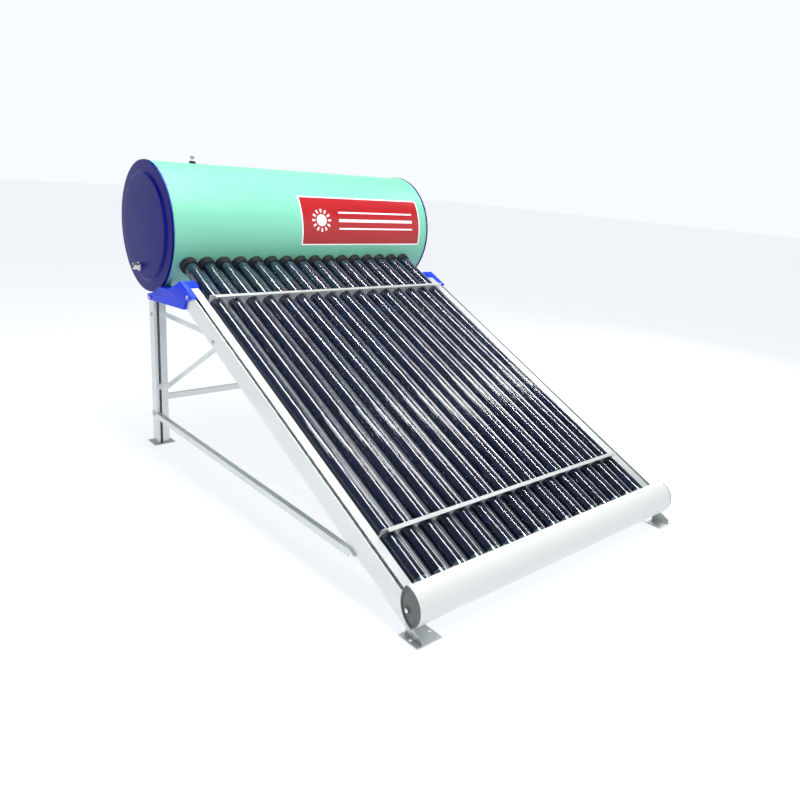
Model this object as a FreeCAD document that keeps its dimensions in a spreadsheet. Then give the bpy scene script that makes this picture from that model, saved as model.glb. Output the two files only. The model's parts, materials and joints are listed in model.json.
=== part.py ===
import FreeCAD, Part
import math
import os
import re
from types import SimpleNamespace

# Solar water heater: an insulated tank on a low aluminium stand, fed by a bank of sixteen
# evacuated glass tubes that slope down to a tailstock bar at the front.
#
# The model is laid out in a build frame and then moved to the part's own frame:
#   build x = 0   middle of the tube bank        build y = 0   tank axis (-y is the front)
#   build z = 0   the ground
# Sloping pieces are laid out in the slope frame: x as above, +y up the slope, +z square to the
# tubes. Its origin is on the tank axis, so a point s down the tubes has y = -s there.

Vector = FreeCAD.Vector
Rotation = FreeCAD.Rotation
Placement = FreeCAD.Placement

# Every size is written once, in millimetres or degrees. One that starts with "=" is a rule on
# the sizes above it, so that pieces which meet go on meeting when a size is changed.
SIZES = {
    # tube bank
    "tube_count": 16,
    "tube_radius": 29.0,
    "tube_gap": 17.0,
    "tube_drop": 17.0,
    "tube_pitch": "=2 * tube_radius + tube_gap",
    "tube_length": 1800.0,
    "absorber_radius": "=tube_radius - 5.5",
    "absorber_clearance": "=2.5 * tube_radius",
    "absorber_rim": 3.0,
    "glass_wall": 1.8,
    "glass_gap": 0.1,
    "clip_offset": 45.0,
    "clip_length": 12.0,
    "tube_depth_in_tank": 65.0,
    "tube_tip_radius": 4.0,
    "tube_tip_length": 9.0,
    "slide_gap": 0.3,
    # tank
    "casing_radius": 262.0,
    "casing_wall": 1.5,
    "bank_half_width": "=tube_count * tube_pitch / 2",
    "casing_left": "=bank_half_width + 35",
    "casing_right": "=bank_half_width + 96",
    "bead_width": 8.0,
    "bead_height": 1.5,
    "bead_inset": 1.0,
    "inner_radius": "=casing_radius - 57",
    "inner_wall": 2.0,
    "inner_left": "=casing_left - 17",
    "inner_right": "=casing_right - 17",
    "inner_round": 6.0,
    "foam_gap": 0.3,
    "port_gap": 4.0,
    "seal_flange": "=tube_gap / 2 - 1",
    "seal_length": 22.0,
    "seal_offset": 3.0,
    "seal_gap": 0.1,
    "dust_ring_radius": "=tube_radius + 7",
    "dust_ring_length": 28.0,
    "cap_wall": 2.0,
    "cap_overlap": 4.0,
    "cap_depth": 5.0,
    "cap_disc_radius": "=casing_radius - 48",
    "cap_disc_height": 9.0,
    "cap_round": 4.0,
    # fittings
    "nipple_radius": 13.2,
    "nipple_bore": 9.5,
    "nipple_reach": 28.0,
    "nipple_y": 57.0,
    "nipple_drop": "=casing_radius - 94",
    "flange_radius": 21.0,
    "flange_thick": 3.0,
    "vent_x": "=169 - bank_half_width",
    "vent_radius": 5.0,
    "vent_collar_radius": 14.0,
    "vent_collar_height": 8.0,
    "vent_height": 26.0,
    "vent_bore": 3.0,
    "vent_cap_radius": 8.0,
    "vent_cap_height": 12.0,
    "vent_cap_top": 3.0,
    # label
    "label_left": -48.0,
    "label_right": "=casing_right - 51",
    "label_low_angle": -10.5,
    "label_high_angle": 37.5,
    "label_thick": 0.6,
    "label_gap": 0.05,
    # slope: places down the tubes, measured from the tank axis
    "tube_top": "=inner_radius - tube_depth_in_tank",
    "tube_end": "=tube_top + tube_length",
    "base_s": "=tube_end + 12",
    "tilt": 25.0,
    "toe_height": 100.05,
    "axis_height": "=base_s * sin(tilt * 1deg) + toe_height",
    # frame profiles
    "frame_inner": "=bank_half_width",
    "profile_wall": 2.0,
    "rail_width": 46.0,
    "rail_height": 76.0,
    "rail_drop": 5.0,
    "rail_top": "=casing_radius + 160",
    "rail_end": "=base_s",
    "rail_slot_edge": 4.0,
    "slot_width": 11.0,
    "leg_width": 52.0,
    "leg_depth": 46.0,
    "leg_middle": 65.0,
    "leg_slot_edge": 12.0,
    "leg_socket": 26.0,
    # saddles
    "saddle_width": 60.0,
    "saddle_overhang": 4.0,
    "saddle_gap": 0.6,
    "saddle_back": 36.0,
    "saddle_rise": 57.5,
    "stud_angle": 66.0,
    "stud_x": "=frame_inner + 7",
    "stud_seat": "=casing_radius + 50",
    "stud_pocket": 9.0,
    "stud_start": 0.05,
    "saddle_drop": "=casing_radius + 30",
    "saddle_wall": 4.0,
    "saddle_toe": 90.0,
    "saddle_chin": 44.0,
    "saddle_chin_h": -46.0,
    "saddle_brow": 24.0,
    "saddle_throat": 61.0,
    "saddle_throat_h": -40.0,
    "saddle_neck": 110.0,
    "saddle_neck_h": -96.0,
    "saddle_hood": 18.0,
    "saddle_hood_x": 33.0,
    "saddle_clearance": 8.0,
    "saddle_bolt_s": 58.0,
    "saddle_bolt_h": -18.0,
    # braces
    "bar_thick": 3.0,
    "brace_width": 20.0,
    "brace_bolt_s": 700.0,
    "brace_bolt_drop": 58.0,
    "diagonal_foot": 262.0,
    "lower_strut_height": 131.0,
    "lower_strut_width": 24.0,
    "lower_tab_s": "=base_s - 268",
    "lower_tab_x": 14.0,
    "lower_tab_length": 40.0,
    "lower_tab_reach": 18.0,
    "lower_tab_inset": 3.0,
    "diagonal_reach": 12.0,
    "diagonal_foot_spare": 3.0,
    "crossbar_height": 196.0,
    "crossbar_width": 25.0,
    "crossbar_inset": 4.0,
    "crossbar_ledge": 15.0,
    "crossbar_ledge_inset": 10.0,
    # tube bars
    "upper_bar_s": "=casing_radius + 273",
    "lower_bar_s": "=base_s - 241",
    "tube_bar_wall": 2.0,
    "tube_bar_depth": 60.0,
    "tube_bar_flange": 24.0,
    "tube_notch_gap": 1.5,
    "tab_height": 27.0,
    "tab_lip": 14.0,
    "tab_inset": 20.0,
    "tube_bar_end": 44.0,
    "bar_bolt_h": -38.0,
    "bar_bolt_back": 12.0,
    "base_bolt_back": 32.0,
    "end_bolt_back": 15.0,
    "end_bolt_h": -27.0,
    # tailstock
    "base_wall": 2.0,
    "base_top": 0.0,
    "base_end_height": 48.0,
    "base_depth": 54.0,
    "base_floor": 58.0,
    "cover_wall": 1.5,
    "cover_back": "=base_s - 52",
    "cover_rise": 35.0,
    "cover_nose_s": "=base_s + 15",
    "cover_nose_h": 18.0,
    "cover_foot_s": "=base_s + 27",
    "cover_foot_h": -61.5,
    "cover_lip": 46.0,
    "cover_lip_inset": 2.0,
    "cover_lip_overlap": 0.2,
    "leaf_back_s": 18.0,
    "leaf_back_h": -42.0,
    "end_plate_wall": 2.0,
    "cup_wall": 4.0,
    "cup_depth": 14.0,
    "cup_boss_radius": 16.0,
    "cup_gap": 0.2,
    # feet
    "foot_wall": 4.0,
    "foot_width": 92.0,
    "foot_depth": 78.0,
    "foot_front_y": "=rail_end * cos(tilt * 1deg) + 0.9",
    "foot_front_x": "=frame_inner + 17",
    "foot_bolt_height": 40.0,
    "foot_hole_spacing": 72.0,
    "foot_hole_radius": 5.5,
    "foot_tab": 3.0,
    "foot_tab_height": 60.0,
    "foot_tab_nose": 10.0,
    "foot_tab_overlap": 66.0,
    "foot_tab_inset": 4.0,
    # fasteners
    "bolt_radius": 4.0,
    "bolt_gap": 0.4,
    "head_radius": 7.5,
    "head_height": 5.3,
    "nut_height": 6.5,
    "bolt_spare": 1.5,
    "screw_radius": 2.4,
    "screw_head_radius": 4.8,
    "screw_head_height": 2.6,
    "screw_length": 9.0,
    "screw_back": 9.0,
    "thread_gap": 0.05,
    "pipe_gap": 0.2,
}

# How far a cutting tool runs past the surface that it cuts.
PAST = 10.0

doc = FreeCAD.newDocument("SolarWaterHeater")
sheet = doc.addObject("Spreadsheet::Sheet", "Sizes")
for row, (name, number) in enumerate(SIZES.items(), start=1):
    sheet.set("A%d" % row, name)
    sheet.set("B%d" % row, str(number))
    sheet.setAlias("B%d" % row, name)
doc.recompute()
size = SimpleNamespace(**{name: sheet.get(name) for name in SIZES})


# ---------------------------------------------------------------- places

def slope_point(x, s, h):
    """Build-frame point that is s down the tubes and h square to them."""
    angle = math.radians(size.tilt)
    y = -s * math.cos(angle) - h * math.sin(angle)
    z = size.axis_height - s * math.sin(angle) + h * math.cos(angle)
    return Vector(x, y, z)


def tube_point(x, s):
    """A point on a tube's own axis, which runs a little below the tank axis."""
    return slope_point(x, s, -size.tube_drop)


SLOPE = Placement(Vector(0, 0, size.axis_height), Rotation(Vector(1, 0, 0), size.tilt))
UP_SLOPE = Vector(0, math.cos(math.radians(size.tilt)), math.sin(math.radians(size.tilt)))
SQUARE = Vector(0, -math.sin(math.radians(size.tilt)), math.cos(math.radians(size.tilt)))
ALONG_X = Vector(1, 0, 0)
ALONG_Y = Vector(0, 1, 0)
ALONG_Z = Vector(0, 0, 1)

tube_xs = [(i - (size.tube_count - 1) / 2) * size.tube_pitch for i in range(int(size.tube_count))]
cap_rim_radius = size.casing_radius + size.slide_gap + size.cap_wall
cap_reach = size.cap_depth + size.cap_disc_height
left_tip = -(size.casing_left + cap_reach + size.nipple_reach)
right_tip = size.casing_right + cap_reach + size.nipple_reach
front_tip = -(size.foot_front_y + size.foot_depth / 2)
rear_tip = cap_rim_radius
TO_PART_FRAME = Placement(Vector(-(left_tip + right_tip) / 2, -(front_tip + rear_tip) / 2, 0), Rotation())


# ---------------------------------------------------------------- building blocks

def rule(text):
    """An expression on the sheet's cells, written with their plain names."""
    return re.sub(r"[a-z]\w+", lambda word: "Sizes." + word.group() if word.group() in SIZES else word.group(), text)


def bind(piece, **rules):
    for prop, text in rules.items():
        piece.setExpression(prop.replace("_", "."), rule(str(text)))
    return piece


def block(name, length, width, height, corner, frame=Placement()):
    """A box: three size rules, and the point of its low corner in the given frame."""
    box = doc.addObject("Part::Box", name)
    bind(box, Length=length, Width=width, Height=height)
    box.Placement = frame.multiply(Placement(Vector(*corner), Rotation()))
    return box


def rod(name, radius, length, start, direction):
    """A round bar from a point along a direction, with rules for its radius and length."""
    bar = doc.addObject("Part::Cylinder", name)
    bind(bar, Radius=radius, Height=length)
    bar.Placement = Placement(start, Rotation(ALONG_Z, direction))
    return bar


def ball(name, radius, centre):
    sphere = doc.addObject("Part::Sphere", name)
    bind(sphere, Radius=radius)
    sphere.Placement = Placement(centre, Rotation())
    return sphere


def fuse(name, pieces):
    joined = doc.addObject("Part::MultiFuse", name)
    joined.Shapes = pieces
    joined.Refine = True
    return joined


def cut(name, base, tools):
    result = doc.addObject("Part::Cut", name)
    result.Base = base
    result.Tool = tools[0] if len(tools) == 1 else fuse(name + "_tools", tools)
    return result


def group(name, pieces):
    together = doc.addObject("Part::Compound", name)
    together.Links = pieces
    return together


def line(a, b):
    return Part.LineSegment(Vector(a[0], a[1], 0), Vector(b[0], b[1], 0))


def arc(a, middle, b):
    return Part.Arc(Vector(a[0], a[1], 0), Vector(middle[0], middle[1], 0), Vector(b[0], b[1], 0))


def outline(points):
    """Straight edges through the points and back to the first."""
    return [line(a, b) for a, b in zip(points, points[1:] + points[:1])]


def padded(name, role, edges, length, offset=0.0, frame=Placement()):
    """A body padded from a closed outline on one of its own origin planes."""
    body = doc.addObject("PartDesign::Body", name)
    sketch = body.newObject("Sketcher::SketchObject", name + "_outline")
    plane = [item for item in body.Origin.OriginFeatures if item.Role == role][0]
    sketch.AttachmentSupport = [(plane, "")]
    sketch.MapMode = "FlatFace"
    sketch.AttachmentOffset = Placement(Vector(0, 0, offset), Rotation())
    for edge in edges:
        sketch.addGeometry(edge, False)
    pad = body.newObject("PartDesign::Pad", name + "_pad")
    pad.Profile = sketch
    bind(pad, Length=length)
    body.Placement = frame
    return body


def turned(name, edges, centre):
    """A body turned about a line along x; the outline has x first and the radius second."""
    body = doc.addObject("PartDesign::Body", name)
    sketch = body.newObject("Sketcher::SketchObject", name + "_section")
    plane = [item for item in body.Origin.OriginFeatures if item.Role == "XY_Plane"][0]
    sketch.AttachmentSupport = [(plane, "")]
    sketch.MapMode = "FlatFace"
    for edge in edges:
        sketch.addGeometry(edge, False)
    turn = body.newObject("PartDesign::Revolution", name + "_turn")
    turn.Profile = sketch
    turn.ReferenceAxis = (sketch, ["H_Axis"])
    turn.Angle = 360.0
    body.Placement = Placement(centre, Rotation())
    return body


finished = []


def finish(piece, label):
    """Name a finished piece, move it to the part's own frame and list it for export."""
    piece.Label = label
    piece.Placement = TO_PART_FRAME.multiply(piece.Placement)
    finished.append(piece)


# ---------------------------------------------------------------- fasteners

bolts = []
nuts = []
drillings = {}


def bolt(point, direction, grip, pieces):
    """A hex bolt whose head seats at point; it runs along direction through the named pieces."""
    number = len(bolts) + 1
    total = grip + size.nut_height + size.bolt_spare
    head = doc.addObject("Part::Prism", "bolt_head_%d" % number)
    bind(head, Circumradius="head_radius", Height="head_height")
    head.Placement = Placement(point - direction * size.head_height, Rotation(ALONG_Z, direction))
    shank = rod("bolt_shank_%d" % number, "bolt_radius", total, point, direction)
    bolts.append(fuse("bolt_%d" % number, [head, shank]))
    blank = doc.addObject("Part::Prism", "nut_blank_%d" % number)
    bind(blank, Circumradius="head_radius", Height="nut_height")
    blank.Placement = Placement(point + direction * grip, Rotation(ALONG_Z, direction))
    thread = rod("nut_thread_%d" % number, "bolt_radius + thread_gap", total, point, direction)
    nuts.append(cut("nut_%d" % number, blank, [thread]))
    for piece in pieces:
        start = point - direction
        drill = rod("drill_%d_%s" % (number, piece), "bolt_radius + bolt_gap", grip + 2, start, direction)
        drillings.setdefault(piece, []).append(drill)


def drilled(blank, label, extra=()):
    """The blank with every hole that the fasteners need in it."""
    tools = drillings.get(label, []) + list(extra)
    return cut(label + "_drilled", blank, tools) if tools else blank


SIDES = {"left": -1, "right": 1}
BRACE_END = 0.7    # how far a brace runs past its bolt, as a share of its width
rail_outer = size.frame_inner + size.rail_width
leg_outer = size.frame_inner + size.leg_width
rail_low = -(size.rail_drop + size.rail_height)
brace_bolt_h = -(size.rail_drop + size.brace_bolt_drop)
leg_front = -(size.leg_middle + size.leg_depth / 2)
leg_rear = -(size.leg_middle - size.leg_depth / 2)
saddle_bottom = size.axis_height - size.saddle_drop
leg_top = saddle_bottom + size.leg_socket
saddle_inner = size.frame_inner - size.saddle_overhang
saddle_outer = saddle_inner + size.saddle_width
brace_height = slope_point(0, size.brace_bolt_s, brace_bolt_h).z
brace_front = slope_point(0, size.brace_bolt_s, brace_bolt_h).y
leg_slot_middle = leg_outer - size.leg_slot_edge - size.slot_width / 2
screw_xs = [share * size.frame_inner for share in (-0.75, -0.25, 0.25, 0.75)]

for side, sign in SIDES.items():
    inwards = Vector(-sign, 0, 0)
    outwards = Vector(sign, 0, 0)
    # one bolt holds the upper strut and the diagonal to the inside of the rail
    bolt(slope_point(sign * rail_outer, size.brace_bolt_s, brace_bolt_h), inwards,
         size.rail_width + 2 * size.bar_thick,
         [side + "_front_rail", side + "_upper_strut", side + "_diagonal_strut"])
    # upper strut to the leg
    bolt(Vector(sign * leg_outer, -size.leg_middle, brace_height), inwards,
         size.leg_width + size.bar_thick, [side + "_rear_leg", side + "_upper_strut"])
    # lower strut to the outside of the leg
    bolt(Vector(sign * (leg_outer + size.bar_thick), -size.leg_middle, size.lower_strut_height), inwards,
         size.bar_thick + size.profile_wall, [side + "_rear_leg", side + "_lower_strut"])
    # lower strut to the underside of the rail
    tab_x = sign * (size.frame_inner + size.lower_tab_x)
    bolt(slope_point(tab_x, size.lower_tab_s, rail_low - size.bar_thick), SQUARE,
         size.bar_thick + size.profile_wall, [side + "_front_rail", side + "_lower_strut"])
    # crossbar to the back of the leg
    bolt(Vector(sign * (size.frame_inner + size.leg_width / 2), leg_rear + size.bar_thick, size.crossbar_height),
         Vector(0, -1, 0), size.bar_thick + size.profile_wall, [side + "_rear_leg", "rear_crossbar"])
    # rear foot to the inside wall of the leg
    bolt(Vector(sign * size.frame_inner, -size.leg_middle, size.foot_bolt_height), outwards,
         size.profile_wall + size.foot_tab, [side + "_rear_leg", "rear_%s_foot" % side])
    # tailstock end plate and front foot to the outside wall of the rail
    bolt(slope_point(sign * (rail_outer + size.end_plate_wall), size.base_s - size.end_bolt_back, size.end_bolt_h),
         inwards,
         size.end_plate_wall + size.profile_wall + size.foot_tab,
         ["tailstock_end_" + side, side + "_front_rail", "front_%s_foot" % side])
    # saddle to the rail and to the leg
    bolt(slope_point(sign * saddle_outer, size.rail_top + size.saddle_bolt_s, size.saddle_bolt_h), inwards,
         saddle_outer - size.frame_inner, [side + "_front_rail", side + "_tank_saddle"])
    bolt(Vector(sign * saddle_outer, -size.leg_middle, saddle_bottom + size.leg_socket / 2), inwards,
         size.saddle_width, [side + "_rear_leg", side + "_tank_saddle"])
    # tube bars and tailstock base to the inside wall of the rail
    for bar, s in (("upper_tube_bar", size.upper_bar_s - size.bar_bolt_back),
                   ("lower_tube_bar", size.lower_bar_s - size.bar_bolt_back),
                   ("tailstock_base", size.base_s - size.base_bolt_back)):
        bolt(slope_point(sign * (size.frame_inner - size.tube_bar_wall), s, size.bar_bolt_h), outwards,
             size.tube_bar_wall + size.profile_wall, [bar, side + "_front_rail"])
    # diagonal to the slot in the front of the leg
    bolt(Vector(sign * leg_slot_middle, leg_front - size.bar_thick, size.diagonal_foot), ALONG_Y,
         size.bar_thick + size.profile_wall, [side + "_diagonal_strut"])


# ---------------------------------------------------------------- tank

tank_centre = Vector(0, 0, size.axis_height)


def port_rods(name, radius, near_s, far_s):
    """One rod per tube, along the tube's own axis."""
    rods = []
    for number, x in enumerate(tube_xs, start=1):
        start = tube_point(x, near_s)
        rods.append(rod("%s_%02d" % (name, number), radius, far_s - near_s, start, -UP_SLOPE))
    return rods


def x_drum(name, radius, left, right):
    """A solid drum on the tank axis."""
    return rod(name, radius, right - left, tank_centre + Vector(left, 0, 0), ALONG_X)


def shell_section(left, right, radius, wall, corner):
    """Half section of a closed drum with rounded corners, open to the axis."""
    inner = corner - wall
    diagonal = math.sqrt(0.5)
    outer_left = (left + corner * (1 - diagonal), radius - corner * (1 - diagonal))
    outer_right = (right - corner * (1 - diagonal), radius - corner * (1 - diagonal))
    inner_left = (left + corner - inner * diagonal, radius - corner + inner * diagonal)
    inner_right = (right - corner + inner * diagonal, radius - corner + inner * diagonal)
    return [
        line((left, 0), (left, radius - corner)),
        arc((left, radius - corner), outer_left, (left + corner, radius)),
        line((left + corner, radius), (right - corner, radius)),
        arc((right - corner, radius), outer_right, (right, radius - corner)),
        line((right, radius - corner), (right, 0)),
        line((right, 0), (right - wall, 0)),
        line((right - wall, 0), (right - wall, radius - corner)),
        arc((right - wall, radius - corner), inner_right, (right - corner, radius - wall)),
        line((right - corner, radius - wall), (left + corner, radius - wall)),
        arc((left + corner, radius - wall), inner_left, (left + wall, radius - corner)),
        line((left + wall, radius - corner), (left + wall, 0)),
        line((left + wall, 0), (left, 0)),
    ]


def make_casing():
    left = -size.casing_left
    right = size.casing_right
    outer = size.casing_radius
    inner = outer - size.casing_wall
    bead = outer + size.bead_height
    near = left + size.cap_overlap + size.bead_inset
    far = right - size.cap_overlap - size.bead_inset
    points = [(left, inner), (left, outer), (near, outer), (near, bead), (near + size.bead_width, bead),
              (near + size.bead_width, outer), (far - size.bead_width, outer), (far - size.bead_width, bead),
              (far, bead), (far, outer), (right, outer), (right, inner)]
    tube = turned("casing_shell", outline(points), tank_centre)
    holes = port_rods("casing_port", "tube_radius + port_gap", inner - 60, outer + 20)
    vent = rod("casing_vent", "vent_radius + slide_gap", 80, vent_foot(inner - 40), ALONG_Z)
    studs = [stud_rod("casing_stud_" + side, sign, "bolt_radius + bolt_gap", inner - 20, 60)
             for side, sign in SIDES.items()]
    finish(cut("casing_cut", tube, holes + [vent] + studs), "tank_casing")


def vent_foot(radius):
    return Vector(size.vent_x, 0, size.axis_height + radius)


def stud_rod(name, sign, radius, start, length):
    """A rod square to the tank, on the line of a saddle stud."""
    angle = math.radians(size.stud_angle)
    out = Vector(0, -math.cos(angle), -math.sin(angle))
    return rod(name, radius, length, tank_centre + out * start + Vector(sign * size.stud_x, 0, 0), out)


def nipple_rod(name, sign, radius, near, far):
    start = tank_centre + Vector(sign * near, size.nipple_y, -size.nipple_drop)
    return rod(name, radius, far - near, start, Vector(sign, 0, 0))


def make_inner_tank():
    edges = shell_section(-size.inner_left, size.inner_right, size.inner_radius, size.inner_wall, size.inner_round)
    shell = turned("inner_shell", edges, tank_centre)
    holes = port_rods("inner_port", "tube_radius + port_gap", size.inner_radius - 40, size.inner_radius + 20)
    vent = rod("inner_vent", "vent_radius + pipe_gap", 40, vent_foot(size.inner_radius - 20), ALONG_Z)
    left = nipple_rod("inner_outlet", -1, "nipple_radius + pipe_gap", size.inner_left - PAST,
                      size.inner_left + PAST)
    right = nipple_rod("inner_inlet", 1, "nipple_radius + pipe_gap", size.inner_right - PAST,
                       size.inner_right + PAST)
    finish(cut("inner_cut", shell, holes + [vent, left, right]), "inner_tank")


def make_foam():
    left = -(size.casing_left + size.cap_depth - size.cap_wall - size.foam_gap)
    right = size.casing_right + size.cap_depth - size.cap_wall - size.foam_gap
    drum = x_drum("foam_drum", "casing_radius - casing_wall - foam_gap", left, right)
    core = x_drum("foam_core", "inner_radius + foam_gap", -size.inner_left - size.foam_gap,
                  size.inner_right + size.foam_gap)
    holes = port_rods("foam_port", "tube_radius + seal_flange + foam_gap", size.inner_radius - 50,
                      size.casing_radius + 20)
    vent = rod("foam_vent", "vent_radius + foam_gap", 90, vent_foot(size.inner_radius - 10), ALONG_Z)
    pipes = [nipple_rod("foam_outlet", -1, "nipple_radius + foam_gap", size.inner_left - 10, size.casing_left + 40),
             nipple_rod("foam_inlet", 1, "nipple_radius + foam_gap", size.inner_right - 10, size.casing_right + 40)]
    studs = [stud_rod("foam_stud_" + side, sign, "bolt_radius + bolt_gap", size.inner_radius - 10, 80)
             for side, sign in SIDES.items()]
    finish(cut("foam_cut", drum, [core, vent] + holes + pipes + studs), "foam_insulation")


def make_cap(side, sign, casing_end):
    """Pressed end cap: a rim over the casing, a flat ring and a raised disc."""
    wall = size.cap_wall
    rim = cap_rim_radius
    face = size.cap_depth
    disc_face = face + size.cap_disc_height
    disc = size.cap_disc_radius
    step = size.cap_disc_height
    corner = size.cap_round
    bend = corner * (1 - math.sqrt(0.5))

    def at(depth, radius):
        return (sign * (casing_end + depth), radius)

    edges = [
        line(at(-size.cap_overlap, rim - wall), at(-size.cap_overlap, rim)),
        line(at(-size.cap_overlap, rim), at(face - corner, rim)),
        arc(at(face - corner, rim), at(face - bend, rim - bend), at(face, rim - corner)),
        line(at(face, rim - corner), at(face, disc + step)),
        line(at(face, disc + step), at(disc_face, disc)),
        line(at(disc_face, disc), at(disc_face, 0)),
        line(at(disc_face, 0), at(disc_face - wall, 0)),
        line(at(disc_face - wall, 0), at(disc_face - wall, disc - wall / 2)),
        line(at(disc_face - wall, disc - wall / 2), at(face - wall, disc + step - wall / 2)),
        line(at(face - wall, disc + step - wall / 2), at(face - wall, rim - wall)),
        line(at(face - wall, rim - wall), at(-size.cap_overlap, rim - wall)),
    ]
    blank = turned("cap_blank_" + side, edges, tank_centre)
    hole = nipple_rod("cap_hole_" + side, sign, "nipple_radius + slide_gap", casing_end - 20, casing_end + 40)
    finish(cut("cap_cut_" + side, blank, [hole]), "end_cap_" + side)


def make_nipple(label, sign, inner_end, casing_end):
    """Threaded pipe stub from the inner tank, with a locking flange on the cap."""
    face = casing_end + cap_reach
    pipe = nipple_rod(label + "_pipe", sign, "nipple_radius", inner_end - size.inner_wall, face + size.nipple_reach)
    flange = nipple_rod(label + "_flange", sign, "flange_radius", face, face + size.flange_thick)
    bore = nipple_rod(label + "_bore", sign, "nipple_bore", inner_end - 10, face + size.nipple_reach + 5)
    finish(cut(label + "_cut", fuse(label + "_blank", [pipe, flange]), [bore]), label)


def make_vent():
    stem_length = size.casing_radius + size.vent_height - size.inner_radius + size.inner_wall
    stem = rod("vent_stem", "vent_radius", stem_length, vent_foot(size.inner_radius - size.inner_wall), ALONG_Z)
    collar = rod("vent_collar", "vent_collar_radius", "vent_collar_height + 2", vent_foot(size.casing_radius - 2),
                 ALONG_Z)
    seat = x_drum("vent_seat", "casing_radius", size.vent_x - 40, size.vent_x + 40)
    trimmed = cut("vent_collar_trimmed", collar, [seat])
    bore = rod("vent_bore_rod", "vent_bore", stem_length + 10, vent_foot(size.inner_radius - 10), ALONG_Z)
    finish(cut("vent_cut", fuse("vent_blank", [stem, trimmed]), [bore]), "vent_pipe")
    cap_foot = size.casing_radius + size.vent_height + size.vent_cap_top - size.vent_cap_height
    cap = rod("vent_cap_blank", "vent_cap_radius", "vent_cap_height", vent_foot(cap_foot), ALONG_Z)
    socket = rod("vent_cap_socket", "vent_radius + 0.1", "vent_cap_height - vent_cap_top", vent_foot(cap_foot),
                 ALONG_Z)
    finish(cut("vent_cap_cut", cap, [socket]), "vent_cap")


def make_label():
    """Sheet label wrapped on the front of the casing."""
    high = math.radians(size.label_high_angle)
    radial = Vector(0, -math.cos(high), math.sin(high))
    turn = Rotation(radial, ALONG_X.cross(radial), ALONG_X, "ZXY")
    start = tank_centre + Vector(size.label_left, 0, 0)
    sector = doc.addObject("Part::Cylinder", "label_sector")
    bind(sector, Radius="casing_radius + label_gap + label_thick", Height="label_right - label_left",
         Angle="label_high_angle - label_low_angle")
    sector.Placement = Placement(start, turn)
    core = x_drum("label_core", "casing_radius + label_gap", size.label_left - PAST, size.label_right + PAST)
    finish(cut("label_cut", sector, [core]), "front_label")


def make_seals():
    wall_out = x_drum("seal_wall_out", "inner_radius + seal_gap", -size.inner_left, size.inner_right)
    wall_in = x_drum("seal_wall_in", "inner_radius - inner_wall - seal_gap", -size.inner_left, size.inner_right)
    necks = port_rods("seal_neck", "tube_radius + port_gap - seal_gap", size.inner_radius - 3 * PAST,
                      size.inner_radius + 3 * PAST)
    groove = cut("seal_groove", cut("seal_wall", wall_out, [wall_in]), necks)
    near = size.inner_radius - size.seal_length / 2 - size.seal_offset
    rings = port_rods("seal_ring", "tube_radius + seal_flange", near, near + size.seal_length)
    bores = port_rods("seal_bore", "tube_radius + slide_gap", near - 5, near + size.seal_length + 5)
    seals = [cut("port_seal_%02d" % i, ring, [bore, groove])
             for i, (ring, bore) in enumerate(zip(rings, bores), start=1)]
    finish(group("port_seal_set", seals), "port_seals")


def make_dust_rings():
    skin = x_drum("dust_ring_seat", "casing_radius + seal_gap", -size.casing_left, size.casing_right)
    far = size.casing_radius + size.dust_ring_length
    rings = port_rods("dust_ring", "dust_ring_radius", size.casing_radius - 8, far)
    bores = port_rods("dust_bore", "tube_radius + slide_gap", size.casing_radius - 20, far + 5)
    cleared = [cut("dust_ring_cut_%02d" % i, ring, [bore, skin])
               for i, (ring, bore) in enumerate(zip(rings, bores), start=1)]
    finish(group("dust_ring_set", cleared), "dust_rings")


# ---------------------------------------------------------------- evacuated tubes

def closed_glass(name, x, radius, wall, top_s, end_s):
    """A glass tube with an open top and a round closed end."""
    centre_s = end_s - radius
    length = centre_s - top_s
    inner = radius - wall
    outside = fuse(name + "_outside", [
        rod(name + "_bar", radius, length, tube_point(x, top_s), -UP_SLOPE),
        ball(name + "_end", radius, tube_point(x, centre_s))])
    inside = [
        rod(name + "_hollow", inner, length + 5, tube_point(x, top_s - 5), -UP_SLOPE),
        ball(name + "_hollow_end", inner, tube_point(x, centre_s))]
    return outside, inside


def make_tube(number, x):
    """Outer glass with its sealing tip, the coated inner glass and the clip that centres it."""
    name = "tube_%02d" % number
    wall = size.glass_wall
    outside, inside = closed_glass(name + "_glass", x, size.tube_radius, wall, size.tube_top, size.tube_end)
    tip = rod(name + "_tip", "tube_tip_radius", "tube_tip_length + tube_tip_radius",
              tube_point(x, size.tube_end - size.tube_tip_radius), -UP_SLOPE)
    glass = fuse(name + "_outer", [cut(name + "_outer_shell", outside, inside), tip])
    absorber_end = size.tube_end - size.absorber_clearance
    body, hollow = closed_glass(name + "_absorber", x, size.absorber_radius, wall, size.tube_top, absorber_end)
    rim = rod(name + "_rim", "tube_radius - glass_wall - glass_gap", "absorber_rim",
              tube_point(x, size.tube_top), -UP_SLOPE)
    inner_glass = cut(name + "_inner", fuse(name + "_inner_blank", [body, rim]), hollow)
    clip_s = absorber_end - size.clip_offset
    clip_bar = rod(name + "_clip_bar", "tube_radius - glass_wall - glass_gap", "clip_length",
                   tube_point(x, clip_s), -UP_SLOPE)
    clip_hole = rod(name + "_clip_hole", "absorber_radius + glass_gap", "clip_length + 2 * %g" % PAST,
                    tube_point(x, clip_s - PAST), -UP_SLOPE)
    clip = cut(name + "_clip", clip_bar, [clip_hole])
    finish(group(name + "_set", [glass, inner_glass, clip]), "evacuated_tube_%02d" % number)


# ---------------------------------------------------------------- frame

def span(sign, near, far):
    """Low x of a stretch from near to far on one side of the middle."""
    return min(sign * near, sign * far)


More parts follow.
